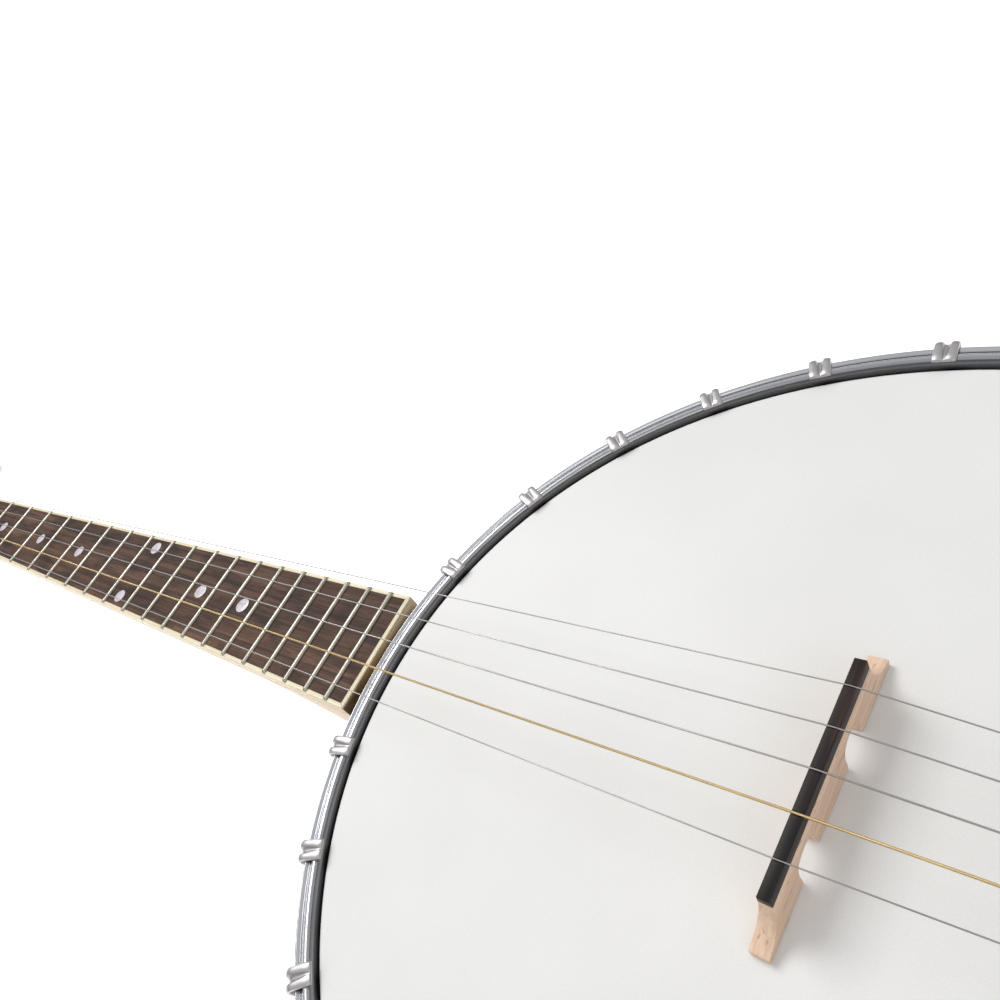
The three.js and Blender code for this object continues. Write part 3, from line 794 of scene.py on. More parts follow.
def hook_band():
    """The flat claw over the hoop: a fluted band that folds down over the lip and narrows into the rod."""
    half = [(.0006, .00055), (.00085, .00095), (.0011, CLAW_CREST)]
    half += [(.0024, .0011), (.003, .00085), (.0032, .0004)]
    across = [*[(-y, t) for y, t in half[::-1]], (0, .00035), *half, (.003, 0), (-.003, 0)]
    path = [(r, CLAW_TOP, 90) for r in (.1363, .1367, .1386, .1402, .1416)]
    fold = (.1424, CLAW_TOP - CLAW_FOLD_R, CLAW_FOLD_R)
    path += [(*arc(*fold, a, a, 2)[0], a) for a in range(90, -1, -15)]
    path += [(CLAW_WALL_R, z, 0) for z in (-.0009, -.0023, -.0037, -.0051)]
    widths = [.96, *[1] * 11, .97, .84, .68, .5]
    heights = [.6, .92, *[1] * 11, .95, .9, .8]
    rings = []
    for (r, z, angle), width, height in zip(path, widths, heights):
        out, up = math.cos(math.radians(angle)), math.sin(math.radians(angle))
        flute = .45 + .75 * min(1.0, max(0.0, (r - FLUTE_START_R) / FLUTE_RUN))
        ring = []
        for y, t in across:
            if t and abs(y) < FLUTE_HALF_WIDTH:
                y, t = y * flute, CLAW_CREST - (CLAW_CREST - t) * flute
            ring.append((r + out * t * height, y * width, z + up * t * height))
        rings.append(ring)
    return rounded(skin(rings), .00012, 1, 50)


def hook():
    rod = [(0, -.0498), (HOOK_ROD_R * .7, -.0498), *thread(HOOK_ROD_R, -.0492, -.037, .0007)]
    rod += [(HOOK_ROD_R, -.036), (HOOK_ROD_R, -.0042), (HOOK_ROD_R * .8, -.0032), (0, -.003)]
    return combined(hook_band(), [moved(lathe(rod, 20, closed=False), x=HOOK_R)], "UNION")


def shoe():
    """The cast shoe on the rim: a base that follows the wood, a web and a barrel that the rod passes."""
    barrel = arc(HOOK_R, 0, .0036, -125, 125, 17)
    base = RIM_OUTER_R + .0001
    outline = [(base, -.0055), (base + .0016, -.0055), (base + .0034, -.0036), (base + .006, -.0027)]
    outline += [*barrel, (base + .006, .0027), (base + .0034, .0036), (base + .0016, .0055), (base, .0055)]
    cast = rounded(prism(outline, SHOE_BOTTOM, SHOE_TOP), .0006, 3, 35)
    bore = prism(circle(HOOK_ROD_R + .00015, 20, HOOK_R), SHOE_BOTTOM - .001, SHOE_TOP + .001)
    inside = prism(circle(RIM_OUTER_R + .0001, 192), SHOE_BOTTOM - .001, SHOE_TOP + .001)
    return combined(cast, [bore, inside])


def shoe_bolt():
    """The screw head and washer inside the rim that hold a shoe."""
    z = (SHOE_TOP + SHOE_BOTTOM) / 2
    washer = lathe(rounded_box_section(.0021, .0052, 0, .0008, .0002, .0002), 32)
    head = hexagon(.004, -.0032, -.0001)
    return together(along_x(washer, RIM_INNER_R - .0009, 0, z), along_x(head, RIM_INNER_R - .0009, 0, z))


def add_brackets():
    hook_mesh = finished_mesh(hook(), "hook", HOOK_NICKEL, 42)
    nut = moved(hexagon(.004, -.046, -.0382, HOOK_ROD_R + .0001), x=HOOK_R)
    nut_mesh = finished_mesh(nut, "hook_nut", CHROME)
    shoe_mesh = finished_mesh(shoe(), "shoe", CHROME)
    bolt_mesh = finished_mesh(shoe_bolt(), "shoe_bolt", CHROME)
    number = 0
    for side, places in BRACKETS.items():
        for bracket_deg in places:
            number += 1
            angle = math.radians(180 - side * bracket_deg)
            place = POT @ Matrix.Rotation(angle, 4, "Z")
            label = f"{number:02d}"
            put("hook_" + label, hook_mesh, place, "instrument", [f"bracket_{label}"])
            for name, mesh in (("hook_nut_", nut_mesh), ("shoe_", shoe_mesh), ("shoe_bolt_", bolt_mesh)):
                put(name + label, mesh, place, "instrument")


def add_coordinator_rod():
    low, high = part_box("coordinator_rod")
    length = high.x - low.x
    middle = (low.z + high.z) / 2 - head_high.z
    threaded = .016
    core = [(0, 0), (.0037, 0), *thread(.0043, .0006, threaded, .0012), (.0045, threaded)]
    core += [(.0045, length - threaded), *thread(.0043, length - threaded + .0002, length - .001, .0012)]
    core += [(.0037, length), (0, length)]
    bar = along_x(lathe(core, 32, closed=False), -length / 2, 0, middle)
    crosshole = prism(circle(.0014, 16), middle - .01, middle + .01)
    piece("coordinator_bar", combined(bar, [crosshole]), POT, CHROME, nodes=["coordinator_rod"])
    for name, side in (("coordinator_nut_neck", -1), ("coordinator_nut_tail", 1)):
        nut = hexagon(.0088, 0, .0065, .0045)
        washer = moved(lathe(rounded_box_section(.0046, .0105, 0, .0012, .0003, .0003), 48), z=.0066)
        placed = turned_to(together(nut, washer), Matrix.Rotation(math.pi / 2, 4, "Y"))
        if side < 0:
            turned_to(placed, Matrix.Rotation(math.pi, 4, "Z"))
        piece(name, moved(placed, side * (length / 2 - .0079), 0, middle), POT, CHROME)


# ---- Neck ----


def fret_distance(number):
    return SCALE_LENGTH * (1 - 2 ** (-number / 12))


def half_width(distance):
    return NUT_HALF_WIDTH + TAPER * distance


STEP_END = fret_distance(5) - .004
STEP_START = STEP_END - .014


def bass_edge(distance):
    """The y of the neck's bass edge, which steps in past the fifth string's peg."""
    if distance >= STEP_END:
        return -half_width(distance)
    share = max(0.0, (distance - STEP_START) / (STEP_END - STEP_START))
    ease = share * share * (3 - 2 * share)
    narrow = NARROW_EDGE - .0006 * max(0.0, min(distance, STEP_START)) / STEP_START
    return narrow + (-half_width(STEP_END) - narrow) * ease


def edge_stations(start, end):
    inside = [STEP_START + (STEP_END - STEP_START) * i / 10 for i in range(11)]
    return [start, *[d for d in inside if start < d < end], end]


def neck_outline(inset, start, end):
    treble = [(start, half_width(start) - inset), (end, half_width(end) - inset)]
    bass = [(d, bass_edge(d) + inset) for d in reversed(edge_stations(start, end))]
    return treble + bass


def neck_ring(x, treble, bass, top, bottom, fullness):
    """A cross-section of the neck: flat on top, rounded underneath. fullness 1 is an ellipse."""
    middle, half = (treble + bass) / 2, (treble - bass) / 2
    ring = []
    count = 28
    for i in range(count + 1):
        angle = math.pi * i / count
        c, s = math.cos(angle), math.sin(angle)
        y = middle + half * squared(c, fullness)
        ring.append((x, y, top + (bottom - top) * s ** fullness))
    return ring


def neck_body():
    rings = []
    back = UNDER_BOARD - .0143
    for x in (-.022, -.018, -.014, -.010, -.007, -.004, -.001):
        share = max(0.0, (-x - .001) / .021)
        face = PEGHEAD_DROP + (x - PEGHEAD_START) * math.tan(PEGHEAD_TILT) - .0004
        top = min(face, UNDER_BOARD - .0004)
        bottom = back * (1 - share) + (face - PEGHEAD_THICKNESS * 1.02) * share
        swell = .0006 * math.sin(share * math.pi)
        rings.append(neck_ring(x, half_width(0) + swell, NARROW_EDGE - swell, top, bottom, 1 - .35 * share))
    heel_start, heel_end = NECK_LENGTH - .092, NECK_LENGTH - .006
    stations = [.001, .03, .07, .11, .14, *edge_stations(STEP_START, STEP_END), .19, .24, .3, .35]
    stations += [heel_start + (heel_end + .016 - heel_start) * i / 24 for i in range(25)]
    for x in stations:
        shaft = UNDER_BOARD - .0139 - .0088 * x
        share = min(1.0, max(0.0, (x - heel_start) / (heel_end - heel_start))) ** 2
        ease = share * share * (3 - 2 * share)
        bottom = shaft + (RIM_BOTTOM + .0045 - shaft) * ease
        treble, bass = half_width(x), bass_edge(x)
        rings.append(neck_ring(x, treble, bass, UNDER_BOARD, bottom, .96 - .16 * ease))
    return skin(rings)


def into_neck(bm):
    """Moves a shape from the pot's frame into the neck's."""
    return turned_to(bm, NECK.inverted() @ POT)


def peghead_outline(inset):
    middle, wide = PEGHEAD_MIDDLE, PEGHEAD_HALF_WIDTH - inset
    end = inset - PEGHEAD_LENGTH
    high, low = NUT_HALF_WIDTH - inset, NARROW_EDGE + inset
    edge = middle + wide
    points = [(.004, high), (-.004, high)]
    points += bezier([points[-1], (-.016, high), (-.018, edge), (-.034, edge)])
    points += bezier([points[-1], (-.06, edge - .003), (-.09, edge - .007), (-.118, edge - .003)])
    points += bezier([points[-1], (-.134, edge), (-.136, middle + .02), (end + .01, middle + .018)])
    points += bezier([points[-1], (end, middle + .012), (end, middle)])
    lower = [(x, 2 * middle - y) for x, y in reversed(points[2:-1])]
    flank = [(-.034, middle - wide), (-.018, middle - wide), (-.016, low), (-.004, low)]
    start = next(i for i, (x, y) in enumerate(lower) if x > PEGHEAD_FLANK_X)
    return points + lower[:start + 1] + bezier(flank) + [(.004, low)]


def add_neck():
    to_neck = NECK.inverted() @ PEGHEAD
    paddle = rounded(prism(peghead_outline(0), -PEGHEAD_THICKNESS, 0), .0014, 3, 50)
    holes = [turned_to(prism(circle(.0034, 24, x, y), -.02, .005), to_neck) for x, y in TUNERS]
    pot = into_neck(prism(circle(RIM_OUTER_R + .0003, 256), -.1, .04))
    hoop_room = into_neck(prism(circle(HOOP_OUTER_R + .0004, 256), -.0135, .04))
    nut_seat = block((-.0051, -.03, UNDER_BOARD - .0003), (.0003, .03, .01))
    body = combined(neck_body(), [turned_to(paddle, to_neck)], "UNION")
    body = combined(body, [pot, hoop_room, nut_seat, *holes])
    piece("maple_neck", body, NECK, NECK_MAPLE, nodes=["neck"], sharp=44)
    add_fretboard()
    add_peghead_trim()


def add_fretboard():
    end = NECK_LENGTH
    inner_end = end - BINDING_WIDTH
    fit = .00003
    board = prism(neck_outline(BINDING_WIDTH + fit, .0003, inner_end - fit), -BOARD_THICKNESS, 0)
    piece("rosewood_board", board, NECK, ROSEWOOD, nodes=["fretboard"])

    treble = [
        (.0003, half_width(0) - BINDING_WIDTH),
        (inner_end - fit, half_width(inner_end) - BINDING_WIDTH),
        (end - fit, half_width(end)),
        (.0003, half_width(0)),
    ]
    stations = edge_stations(.0003, end)
    inner = [(min(d, inner_end) - fit, bass_edge(min(d, inner_end)) + BINDING_WIDTH) for d in stations]
    bass = [(d - fit, bass_edge(d)) for d in stations] + inner[::-1]
    across = [
        (inner_end, half_width(inner_end) - BINDING_WIDTH),
        (inner_end, -half_width(inner_end) + BINDING_WIDTH),
        (end, -half_width(end)),
        (end, half_width(end)),
    ]
    strips = (
        ("binding_treble", treble, BOARD_THICKNESS),
        ("binding_bass", bass, BOARD_THICKNESS),
        ("binding_end", across, END_BINDING_DEPTH),
    )
    for name, outline, depth in strips:
        strip = rounded(prism(outline, -depth, .00002), .00022, 2, 50)
        nodes = ["fretboard_binding"] if name == "binding_treble" else ()
        piece(name, strip, NECK, IVOROID, nodes=nodes)
    below = rounded(prism(across, -BOARD_THICKNESS, -END_BINDING_DEPTH - .00003), .0003, 2, 50)
    piece("board_end_wood", below, NECK, END_MAPLE_PAINTED_SHADE)

    for number in range(1, FRETS + 1):
        add_fret(number)
    for fret in INLAID_FRETS:
        add_dot(f"dot_{fret:02d}", fret, DOT_OFF_MIDDLE[1])
    for name, y in (("dot_12_treble", .014), ("dot_12_bass", -.014)):
        add_dot(name, 12, y)


def add_fret(number):
    """A fret with a round crown and ends that are filed at a slant."""
    x = fret_distance(number)
    treble, bass = half_width(x) - .0001, bass_edge(x) + .0001
    half = FRET_WIDTH / 2
    crown = [(-half, -.0003), (-half, FRET_FOOT)]
    crown += [(a, FRET_FOOT + b * (FRET_HEIGHT - FRET_FOOT) / half) for a, b in arc(0, 0, half, 165, 15, 9)]
    crown += [(half, FRET_FOOT), (half, -.0003)]
    stations = [(bass, .12), (bass + .0002, .45), (bass + .0006, .85), (bass + .001, 1), (treble - .001, 1)]
    stations += [(treble - .0006, .85), (treble - .0002, .45), (treble, .12)]
    rings = [[(x + a, y, max(b, 0) * scale + min(b, 0)) for a, b in crown] for y, scale in stations]
    piece(f"fret_{number:02d}", skin(rings), NECK, FRET_NICKEL, sharp=50)


def add_dot(name, fret, y):
    x = (fret_distance(fret) + fret_distance(fret - 1)) / 2 + DOT_OFF_MIDDLE[0]
    profile = [(0, -.0004), (DOT_R, -.0004), (DOT_R, .00001), (DOT_R - .0001, .00004), (0, .00007)]
    piece(name, moved(lathe(profile, 40, closed=False), x, y), NECK, PEARLOID)


def screw(radius, height):
    """A domed screw head about +Z with a cross recess."""
    dome = [(0, -.001), (radius * .6, -.001), (radius, 0), (radius, height * .3)]
    dome += [(radius * .75, height * .8), (0, height)]
    head = lathe(dome, 24, closed=False)
    wide, thin = radius * .55, radius * .13
    low, high = height * .35, height * 2
    return combined(head, [block((-a, -b, low), (a, b, high)) for a, b in ((wide, thin), (thin, wide))])


def add_peghead_trim():
    outline = [(x, y) for x, y in peghead_outline(.0004) if x < -.0005]
    outline = [(-.0003, outline[0][1]), *outline, (-.0003, outline[-1][1])]
    face = rounded(prism(outline, OVERLAY_LOW, OVERLAY_HIGH), .0004, 2, 50)
    holes = [prism(circle(.0034, 24, x, y), -.005, .005) for x, y in TUNERS]
    piece("peghead_face", combined(face, holes), PEGHEAD, VENEER, nodes=["peghead_overlay"])

    middle = PEGHEAD_MIDDLE
    bell = [(-.004, middle - .006)]
    bell += bezier([bell[-1], (-.010, middle - .0105), (-.021, middle - .009), (-.0285, middle)], 14)
    bell += [(x, 2 * middle - y) for x, y in reversed(bell[:-1])]
    cover = rounded(prism(bell, OVERLAY_HIGH, OVERLAY_HIGH + .0018), .0005, 3, 40)
    screws = [(-.0065, middle - .0038), (-.0065, middle + .0038), (-.0235, middle)]
    piece("cover_plate", cover, PEGHEAD, PEARLOID, nodes=["truss_rod_cover"])
    for index, (x, y) in enumerate(screws):
        head = moved(screw(.0014, .0007), x, y, OVERLAY_HIGH + .0018)
        piece(f"cover_screw_{index + 1}", head, PEGHEAD, NICKEL)
    add_nut()


def add_nut():
    """The bone nut, with a rounded top that falls towards the peghead and a slot for each string."""
    height = STRING_NUT_Z - BOARD_TOP_AT_NUT
    crest = height + .00045
    profile = [(0, UNDER_BOARD), (0, crest - .0002), (-.0002, crest), (-.0014, crest)]
    back = [(-.0038, crest - .0002), (-.0049, crest - .0016), (-.0049, crest - .0026)]
    profile += bezier([profile[-1], *back], 6)
    profile += [(-.0049, UNDER_BOARD)]
    bone = rounded(side_prism(profile, NARROW_EDGE, NUT_HALF_WIDTH), .0002, 2, 50)
    slots = []
    for y, radius in zip(STRING_NUT_Y, STRING_RADII):
        width = radius + .00008
        low = height - radius - .00012
        slots.append(block((-.01, y - width, low), (.005, y + width, crest + .001)))
    piece("bone_nut", combined(bone, slots), NECK, BONE, nodes=["nut"])


# ---- Tuners ----

WORM_X = .0076
WORM_Z = -.005
POST_R = .003
POST_TOP = PEGHEAD_THICKNESS + .0155
POST_HOLE_DEPTH = .0062  # of the string's hole, below the top
WINDING_HEIGHT = .0088


def toothed(radius, depth, teeth, low, high):
    """A gear wheel with straight teeth."""
    outline = []
    for tooth in range(teeth):
        for share, r in ((-.3, radius - depth), (-.14, radius), (.14, radius), (.3, radius - depth)):
            angle = 2 * math.pi * (tooth + share) / teeth
            outline.append(polar(r, angle))
    return prism(outline, low, high)


def post_shape():
    upper = [(POST_R, -.0105), (.0025, -.0095), (.0023, -.006), (.0025, -.0028)]
    upper += [(POST_R, -.0018), (POST_R, -.0007), (.0022, 0), (0, 0)]
    profile = [(0, -.0066), (.0018, -.0066), (POST_R, -.0055), *raised(upper, POST_TOP)]
    hole = along_y(prism(circle(.0007, 14), -.01, .01), 0, 0, POST_TOP - POST_HOLE_DEPTH)
    return combined(lathe(profile, 32, closed=False), [hole])


def button_shape(wide, deep, thick):
    """A flat button with pinched shoulders, made along +Y from its stem."""
    rings = []
    for share, width, height in (
        (0, .26, .62), (.05, .3, .75), (.14, .52, .9), (.28, .83, 1), (.45, 1, .96),
        (.62, 1, .9), (.78, .9, .92), (.9, .66, .78), (.97, .36, .5), (1, .12, .2),
    ):
        y = 2 * deep * share
        ring = []
        for i in range(24):
            angle = 2 * math.pi * i / 24
            x = wide * width * squared(math.cos(angle), .8)
            ring.append((x, y, thick * height * squared(math.sin(angle), .8)))
        rings.append(ring)
    return skin(rings)


def shaft_along_y(profile, x, z, side):
    """A turned shaft about a line along Y, on the given side of the peghead. The profile is (radius, |y|)."""
    bm = lathe(profile, 24, closed=False)
    return turned_to(bm, Matrix.Translation((x, 0, z)) @ Matrix.Rotation(-side * math.pi / 2, 4, "X"))


def add_tuner(number, x, y):
    side = 1 if y > PEGHEAD_MIDDLE else -1
    place = PEGHEAD @ Matrix.Translation((x, y, -PEGHEAD_THICKNESS))
    plate = rounded(block((-.0076, -.009, -.0013), (.0124, .009, -.0001)), .0005, 2)
    cover = rounded(block((-.0068, -.0078, -.0093), (.0116, .0078, -.0012)), .0019, 4)
    pocket = block((-.0058, -.0068, -.0079), (.0106, .0068, .002))
    reach = (0, .012) if side > 0 else (-.012, 0)
    bore = along_y(prism(circle(.0019, 20), *reach), WORM_X, 0, WORM_Z)
    shell = combined(combined(cover, [plate], "UNION"), [pocket, bore])
    piece(f"tuner_{number}_cover", shell, place, NICKEL, nodes=[f"tuner_{number}_housing"])
    corners = [(sx, sy) for sx in (-.0066, .0114) for sy in (-.008, .008)]
    for index, (sx, sy) in enumerate(corners):
        upside_down = Matrix.Rotation(math.pi, 4, "X")
        head = turned_to(screw(.0009, .0004), Matrix.Translation((sx, sy, -.0013)) @ upside_down)
        piece(f"tuner_{number}_screw_{index + 1}", head, place, NICKEL)
    low = OVERLAY_HIGH + PEGHEAD_THICKNESS
    collar = hexagon(.0058, low + .0009, low + .0036, .0031)
    washer = lathe(rounded_box_section(.0032, .0068, low, low + .0008, .0002, .0002), 40)
    piece(f"tuner_{number}_bushing", together(collar, washer), place, NICKEL)

    post = f"post_{number}"
    piece(f"tuner_{number}_capstan", post_shape(), place, NICKEL, post, [f"tuner_{number}_post"])
    gear = combined(toothed(.0052, .0008, 14, -.0066, -.0034), [prism(circle(POST_R, 24), -.01, .01)])
    piece(f"tuner_{number}_gear", gear, place, BRASS, post)
    add_winding(number, place, side, post)

    worm = [(0, -.0064), (.0012, -.0064), *thread(.0019, -.0058, .0058, .0014), (.0013, .0064), (.0013, .008)]
    worm += [(.0015, .0085), (.0015, .0225), (.0022, .023), (.0022, .0245), (0, .0245)]
    stem = shaft_along_y(worm, WORM_X, WORM_Z, side)
    outwards = Matrix.Rotation(0 if side > 0 else math.pi, 4, "Z")
    at = Matrix.Translation((WORM_X, side * .0225, WORM_Z)) @ outwards
    knob = turned_to(button_shape(.009, .0085, .0034), at)
    tip = [(0, .038), (.0017, .038), (.0017, .0397), (.0012, .0401), (0, .0402)]
    tip = shaft_along_y(tip, WORM_X, WORM_Z, side)
    button = f"button_{number}"
    piece(f"tuner_{number}_stem", stem, place, NICKEL, button, [f"tuner_{number}_button"])
    piece(f"tuner_{number}_knob", together(knob, tip), place, NICKEL, button)


def helix(radius, turns, low, high, first, handed):
    """Points of a winding about +Z that starts at an angle and climbs from low to high."""
    count = int(turns * 20)
    points = []
    for i in range(count + 1):
        share = i / count
        angle = first + handed * 2 * math.pi * turns * share
        points.append((*polar(radius, angle), low + (high - low) * share))
    return points


def add_winding(number, place, side, post):
    wire_r = STRING_RADII[number - 1]
    look, slot = (BRONZE, "string_bronze") if number == 4 else (STEEL, "string_steel")
    low = PEGHEAD_THICKNESS + WINDING_HEIGHT
    turns = 3.5
    pitch = wire_r * 2.3
    points = helix(.0024 + wire_r, turns, low, low + pitch * turns, -side * math.pi / 2, side)
    last = Vector(points[-1])
    points += [last * .99 + Vector((0, 0, .0004)), Vector((0, last.y * .5, POST_TOP - POST_HOLE_DEPTH))]
    points += [Vector((0, -last.y * 1.5, POST_TOP - POST_HOLE_DEPTH))]
    piece(f"string_{number}_winding", tube(points, wire_r, 8), place, look, post)


def add_tuners():
    for index, (x, y) in enumerate(TUNERS):
        add_tuner(index + 1, x, y)


# ---- Fifth string's nut and peg ----

FIFTH_PEG = Vector((FIFTH_NUT.x - .026, 0, -.0065))
FIFTH_SIDE = NARROW_EDGE - .0026


def add_fifth_string_parts():
    board = BOARD_TOP_AT_END + NECK_SLOPE * (FIFTH_NUT.x - BOARD_END_X)
    top = FIFTH_NUT.z + .0003
    turned = [(0, board - .0005), (.0019, board - .0005), (.0019, board + .0004), (.0012, board + .0012)]
    turned += [(.0012, top - .0011), (.0017, top - .0005), (.0015, top - .0001), (0, top)]
    wire_r = STRING_RADII[4]
    slot = block((-.004, -wire_r * 1.5, FIFTH_NUT.z - wire_r - .0001), (.004, wire_r * 1.5, top + .001))
    post = combined(lathe(turned, 32, closed=False), [slot])
    piece("fifth_nut_pip", moved(post, FIFTH_NUT.x, FIFTH_NUT.y), POT, BONE, nodes=["fifth_string_nut"])

    at = POT @ Matrix.Translation((FIFTH_PEG.x, 0, FIFTH_PEG.z))
    y0 = -FIFTH_SIDE
    collar = [(.0026, -.004), (.0042, -.004), (.0042, 0), (.005, .0003)]
    collar += [(.005, .0046), (.0045, .005), (.0026, .005)]
    bm = turned_to(lathe(raised(collar, y0), 32), Matrix.Rotation(math.pi / 2, 4, "X"))
    piece("fifth_peg_collar", bm, at, NICKEL, nodes=["fifth_peg_bushing"])
    spool = [(0, .0004), (.0023, .0004), (.0023, .0052), (.0031, .0056), (.0031, .007)]
    spool += [(.0021, .0082), (.0019, .011), (.0021, .0138), (.0031, .015), (.0031, .0168)]
    spool += [(.002, .0176), (.0018, .025), (.0024, .0262), (.0024, .0275), (0, .0275)]
    shaft = shaft_along_y(raised(spool, y0), 0, 0, -1)
    hole = prism(circle(.0006, 12, 0, -(y0 + .011)), -.01, .01)
    piece("fifth_peg_spool", combined(shaft, [hole]), at, NICKEL, "fifth_peg", ["fifth_peg"])
    outwards = Matrix.Translation((0, -(y0 + .026), 0)) @ Matrix.Rotation(math.pi, 4, "Z")
    knob = turned_to(button_shape(.009, .008, .0034), outwards)
    piece("fifth_peg_knob", knob, at, NICKEL, "fifth_peg")
    coil = helix(.0019 + wire_r, 3.5, y0 + .0102, y0 + .0102 + wire_r * 8, math.pi / 2, 1)
    winding = tube([(a, -c, b) for a, b, c in coil], wire_r, 8)
    piece("string_5_winding", winding, at, STEEL, "fifth_peg")


# ---- Bridge, strings and tailpiece ----

BRIDGE_HALF = .03725
BRIDGE_TOP_HALF = .02875
BRIDGE_FOOT_HALF = .0023
BRIDGE_SLOT_PLAY = .00016
CAP_LOW = .0126
CAP_HIGH = STRING_BRIDGE_Z - .0001


def bridge_outline():
    """The bridge's face: three feet, two arches and ends that sweep up to the cap. x is along the bridge."""
    gap = .0095
    foot = (2 * BRIDGE_HALF - 2 * gap) / 3
    top = CAP_LOW - .00003
    points = [(-BRIDGE_HALF, .0002)]
    for start in (-BRIDGE_HALF + foot, foot / 2):
        points += [(start, .0002), (start, .004)]
        points += bezier([(start, .004), (start, .0085), (start + gap / 2, .0085)], 8)
        points += bezier([(start + gap / 2, .0085), (start + gap, .0085), (start + gap, .004)], 8)
        points += [(start + gap, .0002)]
    points += [(BRIDGE_HALF, .0002)]
    sweep = [(BRIDGE_HALF, .0024), (BRIDGE_HALF - .0045, .0032), (BRIDGE_TOP_HALF + .0004, .0062)]
    sweep += [(BRIDGE_TOP_HALF, top)]
    points += [sweep[0], *bezier(sweep, 12)]
    points += [(-x, z) for x, z in bezier(sweep[::-1], 12)]
    points.insert(len(points) - 12, (-BRIDGE_TOP_HALF, top))
    return points


def add_bridge():
    outline = bridge_outline()
    slab = skin([[(x, y, z) for y, z in outline] for x in (-.004, .004)])
    f, t = BRIDGE_FOOT_HALF, .00148
    wedge = side_prism([(-f, -.001), (f, -.001), (f, .002), (t, .015), (-t, .015), (-f, .002)], -.05, .05)
    base = rounded(combined(slab, [wedge], "INTERSECT"), .00018, 2, 40)
    piece("bridge_feet", base, BRIDGE, BRIDGE_MAPLE, "bridge", ["bridge_base"])

    half = BRIDGE_TOP_HALF
    section = [(-.0016, CAP_LOW), (.0016, CAP_LOW), (.00135, CAP_HIGH), (-.00135, CAP_HIGH)]
    cap = side_prism(section, -half, half)
    slots = []
    for y, radius in zip(STRING_BRIDGE_Y, STRING_RADII):
        width = radius + BRIDGE_SLOT_PLAY
        centre = y - BRIDGE_PLACE[1]
        low = STRING_BRIDGE_Z - radius - .00028
        slots.append(block((-.005, centre - width, low), (.005, centre + width, .02)))
    top = combined(rounded(cap, .0002, 2), slots)
    piece("ebony_cap", top, BRIDGE, EBONY, "bridge", ["bridge_cap"])


def smooth_corner(points, radius, steps=6):
    """A path of straight runs with its corners rounded."""
    points = [Vector(p) for p in points]
    path = [points[0]]
    for before, corner, after in zip(points, points[1:], points[2:]):
        start = corner + (before - corner).normalized() * radius
        end = corner + (after - corner).normalized() * radius
        path.append(start)
        path += [Vector(p) for p in bezier([tuple(start), tuple(corner), tuple(end)], steps)]
    return path + [points[-1]]


TAIL_LOW, TAIL_HIGH = (corner - Vector(POT.translation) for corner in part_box("tailpiece"))
TAIL_FRONT = TAIL_LOW.x
PIN_X = TAIL_FRONT + .0135
STRAP_BOTTOM = -.0435


def tail_y(bridge_y):
    return (bridge_y - BRIDGE_PLACE[1]) * .75


def add_strings():
    for index, bridge_y in enumerate(STRING_BRIDGE_Y):
        radius = STRING_RADII[index]
        number = index + 1
        x = BRIDGE_PLACE[0] - math.tan(BRIDGE_YAW) * (bridge_y - BRIDGE_PLACE[1])
        y = tail_y(bridge_y)
        points = [(x, bridge_y, STRING_BRIDGE_Z), (TAIL_FRONT - .0006, y, TAIL_STRING_Z + .0015)]
        points += [(PIN_X - .004, y, TAIL_STRING_Z + .0022)]
        if index < 4:
            px, py = TUNERS[index]
            inward = -1 if py > PEGHEAD_MIDDLE else 1
            height = STRING_NUT_Z - BOARD_TOP_AT_NUT
            to_pot = POT.inverted() @ NECK
            front = to_pot @ Vector((0, STRING_NUT_Y[index], height))
            rear = to_pot @ Vector((-.0045, STRING_NUT_Y[index], height - .0006))
            post = POT.inverted() @ PEGHEAD @ Vector((px, py + inward * (.0024 + radius), WINDING_HEIGHT))
            points = [post, rear, front, *points]
        else:
            spool = FIFTH_PEG + Vector((0, FIFTH_SIDE - .0102, .0019 + radius))
            rear, front = FIFTH_NUT - Vector((.0012, 0, .0001)), FIFTH_NUT + Vector((.0012, 0, 0))
            points = [spool, rear, front, *points]
        look, slot = (BRONZE, "string_bronze") if number == 4 else (STEEL, "string_steel")
        bm = tube(smooth_corner(points, .0008), radius, 12)
        piece(f"string_wire_{number}", bm, POT, look, nodes=[f"string_{number}"], sharp=80)
        add_loop_end(number, y, radius)


def add_loop_end(number, y, radius):
    """The string's loop round its pin, and the twist where the loop is closed."""
    z = TAIL_STRING_Z + .0022
    reach = .0016
    loop = [(PIN_X - .004, y, z)]
    loop += [(PIN_X + px, y + py, z) for px, py in arc(0, 0, reach, 215, 505, 20)]
    loop += [(PIN_X - .004, y + radius, z)]
    twist = helix(radius * 2, 9, 0, .0085, 0, 1)
    wrap = [(PIN_X - .0125 + c, y + a, z - .0002 + b) for a, b, c in twist]
    parts = together(tube(loop, radius, 8), tube(wrap, radius, 8))
    piece(f"string_{number}_loop", parts, POT, STEEL)


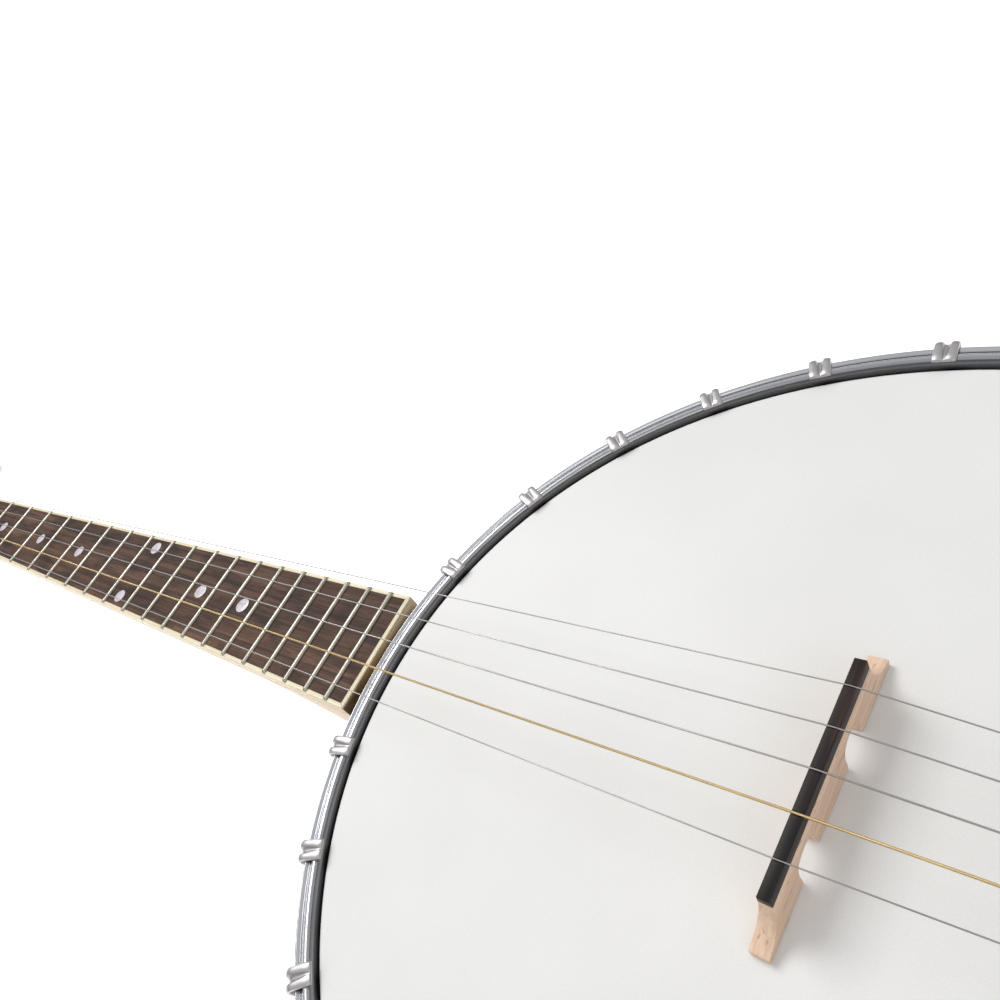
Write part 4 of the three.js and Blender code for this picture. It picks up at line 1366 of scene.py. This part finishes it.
def add_tailpiece():
    half = (TAIL_HIGH.y - TAIL_LOW.y) / 2
    low = .008
    end = TAIL_HIGH.x
    thick = .0016
    side = [(end - .006, half - .005), (end, half - .012)]
    front = TAIL_FRONT + .0008
    outline = [(front, -half), *[(x, -y) for x, y in side], *side[::-1], (front, half)]
    plate = prism(outline, low, low + thick)
    lip = [(TAIL_FRONT, .0036), (TAIL_FRONT + .0014, .0036), (TAIL_FRONT + .0014, low + .0004)]
    lip += [(TAIL_FRONT + .0022, low + thick), *arc(TAIL_FRONT + .0014, low + thick - .0014, .0014, 90, 180, 6)]
    rolled_lip = rounded(side_prism(lip, -half, half), .0003, 2, 50)
    shell = combined(rounded(plate, .0004, 2, 40), [rolled_lip], "UNION")
    notches = []
    for y in STRING_BRIDGE_Y:
        centre = tail_y(y)
        first, last = (TAIL_FRONT - .002, centre - .0006, low + .0009), (TAIL_FRONT + .003, centre + .0006, .02)
        notches.append(block(first, last))
    window = rounded(block((TAIL_FRONT + .0175, -.009, 0), (TAIL_FRONT + .0205, .009, .02)), .0012, 3)
    piece("tailpiece_plate", combined(shell, [*notches, window]), POT, CHROME, nodes=["tailpiece"])
    for index, y in enumerate(STRING_BRIDGE_Y):
        foot = thick - .0004
        profile = [(0, foot), (.0011, foot), (.0011, .0042), (.0016, .0046), (.0014, .0052), (0, .0054)]
        pin = moved(lathe(raised(profile, low), 24, closed=False), PIN_X, tail_y(y))
        piece(f"tailpiece_pin_{index + 1}", pin, POT, CHROME)
    add_hanger(end, low)


def add_hanger(end, low):
    """The bent strap that carries the tailpiece over the hoop, with its bolt, washer and nut."""
    wall = HOOP_OUTER_R + .004
    bolt_z = -.033
    bend = .003
    centre = (wall + .002 - bend, low + .0032 - bend)
    outside = [(end - .003, low + .0032), *arc(*centre, bend, 90, 0, 8), (wall + .002, STRAP_BOTTOM)]
    inside = [(wall + .0002, STRAP_BOTTOM), *arc(*centre, bend - .0018, 0, 90, 8)]
    inside += [(end - .003, low + .0018)]
    strap = rounded(side_prism(outside + inside, -.009, .009), .0006, 2, 50)
    slot = along_x(prism(circle(.0042, 24), -.004, .004), wall + .001, 0, bolt_z)
    piece("tailpiece_strap", combined(strap, [slot]), POT, CHROME, nodes=["tailpiece_hanger"])
    shank = [(0, 0), (.0034, 0), *thread(.0038, .0004, .0165, .0012), (.0034, .0168), (0, .0168)]
    bolt = along_x(lathe(shank, 24, closed=False), RIM_OUTER_R + .0002, 0, bolt_z)
    piece("tailpiece_bolt", bolt, POT, CHROME)
    nut = hexagon(.007, 0, .0045, .0038)
    washer = moved(lathe(rounded_box_section(.004, .0078, 0, .001, .0003, .0003), 40), z=-.0011)
    piece("tailpiece_nut", along_x(together(nut, washer), wall + .0033, 0, bolt_z), POT, CHROME)
    clip = together(
        rounded(block((end - .009, -.0035, low + .0033), (end - .001, .0035, low + .0045)), .0004, 2),
        moved(screw(.0028, .0014), end - .005, 0, low + .0047),
    )
    piece("tailpiece_clamp", clip, POT, CHROME)


# ---- Assembly ----

add_pot()
add_brackets()
add_coordinator_rod()
add_neck()
add_tuners()
add_fifth_string_parts()
add_bridge()
add_strings()
add_tailpiece()
